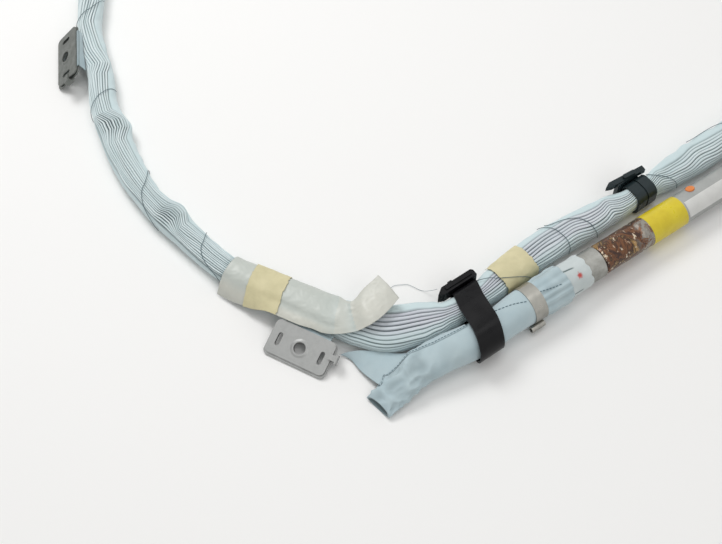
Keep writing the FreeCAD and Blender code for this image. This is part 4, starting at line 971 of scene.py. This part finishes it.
# Along the free flap: its far corner and its near corner.
flap = [((-8.5, -48, 27.4), (-14, -78.3, 22.2)), ((1, -38.5, 30.5), (6, -75, 29.5)),
        ((9, -31.5, 33.5), (21.5, -63.5, 31.5)), ((15.8, -25, 36), (34.8, -47.5, 33))]
for far, near in flap:
    part = np.linspace(0, 1, 10)[:, None]
    row = np.array(far) + (np.array(near) - np.array(far)) * part
    row[:, 2] += FLAP_CURL * np.sin(math.pi * part[:, 0])
    film_rows.append(list(row))
film_base = finer(film_rows, FILM_ROWS, FILM_COLUMNS)
film_row = np.arange(FILM_ROWS)[:, None] / ROWS_A_STEP
film_column = np.arange(FILM_COLUMNS)[None, :] / FILM_COLUMNS
behind = film_row - CREASE_STEP - 0.6 * film_column
v_fold = np.exp(-(behind * 2.6) ** 2) * np.clip((film_column - 0.1) / 0.3, 0, 1)
bank = np.exp(-((behind - 0.8) * 2.0) ** 2) * np.clip(film_column / 0.3, 0, 1)
free_part = np.clip((film_row - FREE_STEP) / 1.5, 0, 1)
film_net = crumple(film_base, 0.4, 14.0, 4.4)
film_net = crumple(film_net, 0.22, 5.0, 1.3)
film_net = film_net + outward(film_net) * (0.3 - 1.7 * v_fold + 1.2 * bank)[..., None]
# A painted shade just before the crease and over the pocket behind the flap; laid_part tints the
# film blue-green where it lies on the bundle.
crease_shade = np.where(behind < 0, np.exp(behind / 0.45), 0) * np.clip(film_column / 0.1, 0, 1)
pocket = film_row - POCKET_STEP - 0.9 * np.sqrt(film_column)
crease_shade = crease_shade + 0.5 * np.where(pocket < 0, np.exp(pocket / 0.6), 0)
laid_part = (1 - free_part) * np.clip((0.86 - film_column) / 0.08, 0, 1)
sheet_object("cover_wrap", film_net, film_skin, 0.4, "cover_film", "film", "folded",
             ["cushion"], {"fold": np.clip(0.5 * laid_part + 0.9 * crease_shade, 0, 1)})

# %% [markdown]
# ## Masking tapes
# Crêped paper tape follows what it is stuck on. Its two cut edges are ragged, so the net's
# first and last rows are shifted to and fro by noise before the thickness is added.


# %% Masking tapes
def ragged(net, amount, seed):
    """Shift the two torn ends of a net along itself by noise."""
    net = net.copy()
    for end, step in ((0, 1), (-1, -1)):
        tear = wobble(net[end], 2.2, seed + end) * amount
        tear += wobble(net[end], 7.0, seed + 5 + end) * amount
        for k in range(4):
            ahead = net[end + step * (k + 1)] - net[end + step * k]
            ahead /= np.linalg.norm(ahead, axis=1)[:, None]
            net[end + step * k] += ahead * (tear * (1 - k / 4))[:, None]
    return net


# The wrap's tape lies on the film, from its far edge to its hem, a little askew.
FIRST_COLUMN = 8
tape_column = np.arange(FIRST_COLUMN, FILM_COLUMNS)
askew = (tape_column - FIRST_COLUMN) / (FILM_COLUMNS - 1 - FIRST_COLUMN)
tape_left = 20 + 5.5 * askew
tape_right = 57 + 6.5 * askew
share = np.linspace(0, 1, 48)[:, None]
wrap_net = between(film_base, tape_left + (tape_right - tape_left) * share, tape_column)
wrap_net = wrap_net + outward(wrap_net) * 1.35
# A painted shade along the tape's folded edge.
folded_edge = np.exp(-((tape_column[None, :] - 12) / 3.0) ** 2) * (0.5 + 0.5 * share)
sheet_object(
    "tape_on_wrap", ragged(crumple(wrap_net, 0.25, 9.0, 8.1), 0.9, 3.0), tape_paper, 0.3,
    "wrap_tape", "masking_tape", "laid", ["cover_wrap"], {"fold": folded_edge})
TAPE_START, TAPE_WIDTH = 809.9, 38.0
angles = np.arange(10, 191, 20.0)
tape_rows = [on_bundle(TAPE_START + TAPE_WIDTH * k / 4, angles, 1.1) for k in range(5)]
tape_net = ragged(crumple(finer(tape_rows, 60, 80), 0.3, 8.0, 2.6), 0.9, 6.0)
sheet_object("tape_on_cushion", tape_net, tape_paper, 0.3, "cushion_tape", "masking_tape",
             "laid", ["cushion"], {"fold": np.zeros((60, 80))})

# %% [markdown]
# ## Throat panel
# A flat panel joins the bundle to the sleeve and is sewn down along the seam. Its free part
# is a net between the two; the rest lies on the sleeve's own cloth, creases and all.

# %% Throat panel
THROAT_ROWS = 70
FOOT_ANGLE, FOOT_LIFT, SEAM_LIFT = 8.0, 0.9, 0.4
# The seam's angle at six stops of the sleeve, where the panel leaves the bundle from the
# second one on, and the points of its open edge at the first one.
seam_side = [16, 21, 38, 54, 64, 52]
bundle_side = [676.5, 702.5, 721.5, 736.0, 755.5]
throat_edge = [(-19.2, -89.5, 2.2), (-9.5, -94.5, 2.2), (-2.9, -103.5, 3.0), (5.7, -113.3, 5.0)]


def on_sleeve(distance, angle, lift):
    """Points just off the sleeve's cloth: angle 0 far side, 90 up."""
    distance, angle, lift = np.broadcast_arrays(distance, angle, lift)
    row = TURNED_IN + distance / sleeve_way.length * (SLEEVE_ROWS - 1)
    cloth = between(sleeve_net, row, angle / 360 * SLEEVE_COLUMNS)
    middle = sleeve_way.at(distance.ravel())[0].reshape(cloth.shape)
    out = (cloth - middle) / np.linalg.norm(cloth - middle, axis=-1)[..., None]
    return cloth + out * lift[..., None]


throat_rows = []
for k in range(6):
    foot = on_sleeve(np.array(sleeve_way.stops[k + 1]), np.array(FOOT_ANGLE), FOOT_LIFT)
    if k == 0:
        row = [np.array(p) for p in throat_edge]
    else:
        far = on_bundle(bundle_side[k - 1], 186.0, 2.0)
        part = np.linspace(0, 0.8, 4)[:, None]
        row = far + (foot - far) * part
        row[:, 2] -= np.sin(math.pi * part[:, 0])
    throat_rows.append(list(row) + [foot])
foot_line = fine_line(sleeve_way.stops[1:7, None], THROAT_ROWS)
seam_angle = fine_line(np.array(seam_side)[:, None], THROAT_ROWS)
way_net = crumple(finer(throat_rows, THROAT_ROWS, 40), 0.4, 12.0, 7.7)
share = np.linspace(0, 1, 40)[None, :, None]
way_net = way_net + (on_sleeve(foot_line, FOOT_ANGLE, FOOT_LIFT) - way_net[:, -1:]) * share ** 3
share = np.linspace(0, 1, 26)[None, 1:]
climb_net = on_sleeve(foot_line, FOOT_ANGLE + (seam_angle - FOOT_ANGLE) * share,
                      FOOT_LIFT + (SEAM_LIFT - FOOT_LIFT) * share)
throat_net = np.concatenate((way_net, climb_net), 1)
sheet_object("throat", throat_net, sleeve_cloth, 0.4, "throat_panel", "sleeve_fabric",
             "stretched", ["cushion", "sleeve"])

# %% [markdown]
# ## Inner sleeve end
# A pale heat-proof sleeve lines the fill sleeve at the neck; its cut end is frayed and it has
# two slots and a dab of red paint. Slots and dab are stored values, because both are flat;
# the slots get a painted shade.

# %% Inner sleeve end
INNER_START, INNER_LENGTH, INNER_RADIUS = -52, 28, 16.1
turn = np.arange(0.0, 360.0, 2.0)[None, :]
share = np.linspace(0, 1, 90)[:, None]
round_turn = np.radians(turn)
fray = noise_on(np.cos(round_turn) * 4, np.sin(round_turn) * 4, 1.0 + 0 * turn) * 1.6
reach = INNER_START + (INNER_LENGTH + fray) * share
radius = INNER_RADIUS + 0.35 * noise_on(reach / 9, np.cos(round_turn) * 2, np.sin(round_turn) * 2)
radius = radius + 0.5 * share ** 6 * np.sin(5 * round_turn)
# The slots are dented a little and take a painted shade.
slot_cuts = np.exp(-((turn - 100 + 0.6 * (reach + 51)) / 3.0) ** 4 - ((reach + 44.5) / 7.5) ** 8)
slot_cuts = slot_cuts + np.exp(-((turn - 4) / 3.0) ** 4 - ((reach + 41.5) / 5.5) ** 8)
dab_edge = 1 + 0.9 * noise_on(reach / 1.6, turn / 6.0, 2.0)
red_dab = np.exp(-((((turn - 60) / 9.0) ** 2 + ((reach + 36) / 2.6) ** 2) * dab_edge) ** 2)
inner_net = on_axis(reach, np.maximum(radius, 15.95) - 0.25 * slot_cuts, turn + 0 * reach)
inner_end = net_object("inner_sleeve_end", inner_net, pale_cloth, closed=True,
                       stored={"fold": slot_cuts, "tint": red_dab})
thicken(inner_end, 0.6)
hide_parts("inner_sleeve")

# %% [markdown]
# ## Bracket tabs
# The tabs are strips of sleeve cloth between the bracket plates. They are cut out where the
# plates have holes, and end where they meet the bundle.


# %% Bracket tabs
TAB_HALF, TAB_BACK, TAB_BEND = 23, -9.5, 19.8
TAB_THICKNESS = 0.6
STRIP_POINTS, FLAT_POINTS, LEG_POINTS, TEST_POINTS = 93, 59, 24, 61
HOLE_RADIUS = 6.3
SLOT_PLACE, SLOT_HALF_WIDTH, SLOT_HALF_LENGTH = 21.8, 2.8, 7.0
# From the hole to the plate's edge on the table, down to its underside, and the gap below it.
PLATE_REACH, PLATE_DEPTH, TABLE_GAP = 17.4, 1.9, 0.3


def inside_bundle(points, gap):
    """Which layout points lie inside the bundle's plain section, grown by a gap."""
    marks = np.linspace(0, bundle.length, 1600)
    here, ahead = bundle.at(marks)
    flat = np.linalg.norm(points[:, None, :2] - here[None], axis=2).argmin(1)
    side = np.stack((-ahead[:, 1], ahead[:, 0]), 1)[flat]
    width, foot = bundle.value(marks)[flat, :2].T
    across = ((points[:, :2] - here[flat]) * side).sum(1) / (width / 2 + gap)
    half = BUNDLE_HEIGHT / 2
    rise = (points[:, 2] - foot - half) / (half + gap)
    return np.abs(across) ** ROUND_TOP + np.abs(rise) ** ROUND_TOP < 1


def tab_object(name, node, place, reach, slope, rests_on):
    """A tab: a flat strip between the plates and a leg that ends at the bundle."""
    x, y, turned, tilt = place
    lean, turned, bend = math.radians(tilt), math.radians(turned), math.radians(slope - tilt)
    height = PLATE_REACH * math.sin(lean) + PLATE_DEPTH * math.cos(lean) + TABLE_GAP
    strip = np.linspace(TAB_HALF, -TAB_HALF, STRIP_POINTS)[:, None]

    def lay(along, leg):
        """Points along the flat strip, then down a leg at the bend's slope."""
        across = np.minimum(along, TAB_BEND) + leg * math.cos(bend)
        up = leg * math.sin(bend) - TAB_THICKNESS / 2
        over = across * math.cos(lean) - up * math.sin(lean)
        rise = across * math.sin(lean) + up * math.cos(lean)
        line = strip + 0 * over
        return np.stack((x + line * math.cos(turned) - over * math.sin(turned),
                         y + line * math.sin(turned) + over * math.cos(turned),
                         height + rise + 0 * line), -1)

    # The leg is tested along its full reach, and each line of it ends where it meets the bundle.
    test = np.linspace(0, 1, TEST_POINTS)[None, :] * reach
    within = inside_bundle(lay(TAB_BEND + 0 * test, test).reshape(-1, 3), 1.2)
    within = within.reshape(STRIP_POINTS, TEST_POINTS)
    free = np.where(within.any(1), within.argmax(1), TEST_POINTS)[:, None] / TEST_POINTS
    flat = np.linspace(TAB_BACK, TAB_BEND, FLAT_POINTS)
    across = np.concatenate((flat, np.full(LEG_POINTS, TAB_BEND)))[None, :]
    leg = np.concatenate((0 * flat, np.linspace(0, reach, LEG_POINTS + 1)[1:]))[None, :] * free
    net = lay(across + 0 * leg, leg)
    loose = np.clip((across - 14) / 6, 0, 1)
    net = net + outward(net) * (0.4 * loose * wobble(net, 9.0, 5.5))[..., None]
    middle = (strip[:-1] + strip[1:]) / 2, (across[:, :-1] + across[:, 1:]) / 2
    hole = middle[0] ** 2 + middle[1] ** 2 < HOLE_RADIUS ** 2
    slots = np.abs(np.abs(middle[0]) - SLOT_PLACE) < SLOT_HALF_WIDTH
    slots = slots & (np.abs(middle[1]) < SLOT_HALF_LENGTH)
    # A painted shade along the bend where the leg leaves the strip.
    fold = 0.5 * np.exp(-(across - TAB_BEND) ** 2) * (leg < 1.5)
    sheet_object(name, net, sleeve_cloth, TAB_THICKNESS, node, "sleeve_fabric", "stretched",
                 rests_on, {"fold": fold + 0 * strip}, keep=~(hole | slots)[:, ::-1])


tab_object("middle_tab", "middle_fabric_tab", (-55.6, -86.7, -27.5, 20.0), 14.0, -12.0,
           ["middle_bracket_back"])
tab_object("end_tab", "end_fabric_tab", (-303.0, 249.5, -83.6, 48.0), 11.0, -62.0,
           ["end_bracket_back"])

# %% [markdown]
# ## Threads and stitches
# Thin threads bind the bundle, and stitches run along the sleeve's seam. Both follow a path,
# which is what Geometry Nodes do well: one tree turns a line of points into a round thread,
# the other sets short stitches along it.


# %% Thread tree
GEOMETRY, MATERIAL = "NodeSocketGeometry", "NodeSocketMaterial"


def node_group(name, sockets):
    """A Geometry Nodes tree with named inputs and a geometry in and out."""
    return new_group(name, [("Geometry", GEOMETRY, None), *sockets], [("Geometry", GEOMETRY)],
                     "GeometryNodeTree")


thread_tree, start, end = node_group(
    "round thread", [("Radius", FLOAT, 0.0004), ("Finish", MATERIAL, None)])
ring = put(thread_tree, "GeometryNodeCurvePrimitiveCircle", {"Resolution": 8})
curve = put(thread_tree, "GeometryNodeMeshToCurve")
sweep = put(thread_tree, "GeometryNodeCurveToMesh", {"Fill Caps": True})
real = put(thread_tree, "GeometryNodeRealizeInstances")
paint = put(thread_tree, "GeometryNodeSetMaterial")
join(thread_tree, (start, "Geometry", curve, "Mesh"), (curve, "Curve", sweep, "Curve"),
     (start, "Radius", ring, "Radius"), (ring, "Curve", sweep, "Profile Curve"),
     (sweep, "Mesh", real, "Geometry"), (real, "Geometry", paint, "Geometry"),
     (start, "Finish", paint, "Material"), (paint, "Geometry", end, "Geometry"))
print(thread_tree.name, "has", len(thread_tree.nodes), "nodes")

# %% [markdown]
# A stitch is a short, slim oval that lies along the seam, one at each pitch of the line. The
# function after the tree runs either tree on lines of points and keeps what it makes.

# %% Stitch tree
stitch_tree, start, end = node_group(
    "stitches", [("Radius", FLOAT, 0.0004), ("Pitch", FLOAT, 0.003), ("Length", FLOAT, 0.002),
                 ("Finish", MATERIAL, None)])
curve = put(stitch_tree, "GeometryNodeMeshToCurve")
spread = put(stitch_tree, "GeometryNodeCurveToPoints", mode="LENGTH")
one = put(stitch_tree, "GeometryNodeMeshUVSphere", {"Segments": 8, "Rings": 6, "Radius": 1.0})
size = put(stitch_tree, "ShaderNodeCombineXYZ")
place = put(stitch_tree, "GeometryNodeInstanceOnPoints")
real = put(stitch_tree, "GeometryNodeRealizeInstances")
paint = put(stitch_tree, "GeometryNodeSetMaterial")
join(stitch_tree, (start, "Geometry", curve, "Mesh"), (curve, "Curve", spread, "Curve"),
     (start, "Pitch", spread, "Length"), (spread, "Points", place, "Points"),
     (spread, "Rotation", place, "Rotation"), (one, "Mesh", place, "Instance"),
     (start, "Radius", size, "X"), (start, "Radius", size, "Y"), (start, "Length", size, "Z"),
     (size, "Vector", place, "Scale"), (place, "Instances", real, "Geometry"),
     (real, "Geometry", paint, "Geometry"), (start, "Finish", paint, "Material"),
     (paint, "Geometry", end, "Geometry"))


def along_lines(name, lines, tree, values):
    """Run a tree on lines of layout points and keep the result as a plain mesh."""
    points, edges = [], []
    for line in lines:
        first = len(points)
        points += to_frame(line).tolist()
        edges += [(first + k, first + k + 1) for k in range(len(line) - 1)]
    mesh = bpy.data.meshes.new(name + " lines")
    mesh.from_pydata(points, edges, [])
    guide = add_object(name + " lines", mesh)
    modifier = guide.modifiers.new("tree", "NODES")
    modifier.node_group = tree
    for item in tree.interface.items_tree:
        if item.in_out == "INPUT" and item.name in values:
            modifier[item.identifier] = values[item.name]
    view = bpy.context.evaluated_depsgraph_get()
    made = bpy.data.meshes.new_from_object(guide.evaluated_get(view))
    bpy.data.objects.remove(guide)
    piece = add_object(name, made)
    made.shade_smooth()
    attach(piece, "root")
    print(name, len(made.polygons), "faces")
    return piece


print(stitch_tree.name, "has", len(stitch_tree.nodes), "nodes")

# %% [markdown]
# Each binding thread is a few stops on the bundle, given as distance and angle. The one loose
# end lies on the table between film and strap; it is a free cord.


# %% Binding threads round the bundle
def thread_line(stops, lift):
    """A line on the bundle through (distance, angle) stops."""
    fine = fine_line(stops, 24 * len(stops))
    return on_bundle(fine[:, 0], fine[:, 1], lift)


binding = [
    [(184, 190), (181, 141), (170, 90), (156, 40), (150, 5)],
    [(302, 200), (296, 150), (289, 111), (280, 70), (277, 10)],
    [(388, -10), (391, 27), (400, 60), (421, 130), (436, 165), (448, 195)],
    [(488, 20), (493, 61), (505, 120), (520, 160), (530, 190)],
    [(883, 30), (886, 50), (900, 62), (916, 93), (920, 133), (923, 190)],
    [(876, 20), (880, 45), (886, 76), (890, 120), (889, 190)],
    [(1000, 40), (1003, 78), (1010, 100), (1018, 140), (1022, 190)],
    [(1062, 20), (1070, 36), (1087, 34), (1103, 54), (1112, 80)],
]
over_tape = [(789, 30), (794, 61), (814, 110), (832, 150), (840, 190)]
loose_end = fine_line([
    (24.0, -44.0, 12.0), (26.0, -32.0, 5.0), (28.4, -17.8, 1.0), (37.1, -14.6, 0.8),
    (44.0, -14.4, 0.8), (51.1, -17.9, 0.9), (59.6, -21.8, 1.4), (71.0, -26.0, 12.0)], 120)
thread_lines = [thread_line(stops, 0.75) for stops in binding] + [thread_line(over_tape, 2.1)]
along_lines("binding_threads", thread_lines, thread_tree,
            {"Radius": 0.0003, "Finish": thread_cloth})
LOOSE_RADIUS = 0.0002
loose_thread = along_lines("loose_thread", [loose_end], thread_tree,
                           {"Radius": LOOSE_RADIUS, "Finish": pale_thread})

# %% [markdown]
# The sleeve's seam runs on from the panel's edge under the strap and the clamp. Stitches show
# in three stretches, a little above the cloth.

# %% Stitches of the sleeve's seam
seams = [on_sleeve(foot_line[:, 0], seam_angle[:, 0] - 4, 1.05)]
for places in ([(138, 66), (151, 82), (164, 98)], [(182, 97), (192, 104), (202, 110)]):
    fine = fine_line(places, 80)
    seams.append(on_sleeve(fine[:, 0], fine[:, 1], 0.35))
along_lines("seam_stitches", seams, stitch_tree,
            {"Radius": 0.0004, "Pitch": 0.0032, "Length": 0.0014, "Finish": seam_cloth})

# %% [markdown]
# ## Floor and light
# The picture has a seamless white table and soft light from all sides. The floor is pale and
# keeps the object's shadow. The world's plain white is seen by the camera and in reflections
# only; what lights the object is a softer grey and three large lamps.

# %% Floor, world and lamps
FLOOR_HEIGHT = -0.0004
floor_mesh = bpy.data.meshes.new("table")
floor_mesh.from_pydata([(x, y, FLOOR_HEIGHT) for x, y in ((-3, -3), (3, -3), (3, 4), (-3, 4))],
                       [], [(0, 1, 2, 3)])
floor_finish, tree, shader = new_finish("table", Roughness=0.7)
shader.inputs["Base Color"].default_value = (0.90, 0.895, 0.885, 1)
floor_mesh.materials.append(floor_finish)
table = add_object("table", floor_mesh)

world = bpy.data.worlds.new("studio")
bpy.context.scene.world = world
world.use_nodes = True
tree = world.node_tree
sky = tree.nodes["Background"]
sky.inputs["Color"].default_value = (0.985, 0.985, 0.975, 1)
rays = put(tree, "ShaderNodeLightPath")
seen = put(tree, "ShaderNodeMath", operation="MAXIMUM")
seen_too = put(tree, "ShaderNodeMath", operation="MAXIMUM")
level = put(tree, "ShaderNodeMapRange", {"To Min": 0.45, "To Max": 1.0})
join(tree, (rays, "Is Camera Ray", seen, 0), (rays, "Is Glossy Ray", seen, 1),
     (seen, 0, seen_too, 0), (rays, "Is Transmission Ray", seen_too, 1),
     (seen_too, 0, level, "Value"), (level, "Result", sky, "Strength"))


def lamp(name, place, target, size, power_w):
    """A large soft lamp that looks at a point; places in metres."""
    data = bpy.data.lights.new(name, "AREA")
    data.energy = power_w
    data.size = size
    data.shape = "DISK"
    light = add_object(name, data)
    light.location = place
    aim = Vector(target) - Vector(place)
    light.rotation_euler = aim.to_track_quat("-Z", "Y").to_euler()


lamp("main lamp", (-0.9, 0.9, 1.7), (0, 0, 0), 0.9, 19)
lamp("front lamp", (0.7, -1.3, 1.6), (0, 0, 0), 1.4, 5)
lamp("top lamp", (0.1, 0.1, 2.2), (0, 0, 0), 1.4, 9)
bpy.context.scene.view_settings.view_transform = "Standard"
print("lamps", [light.name for light in bpy.data.lights], "floor", table.name)
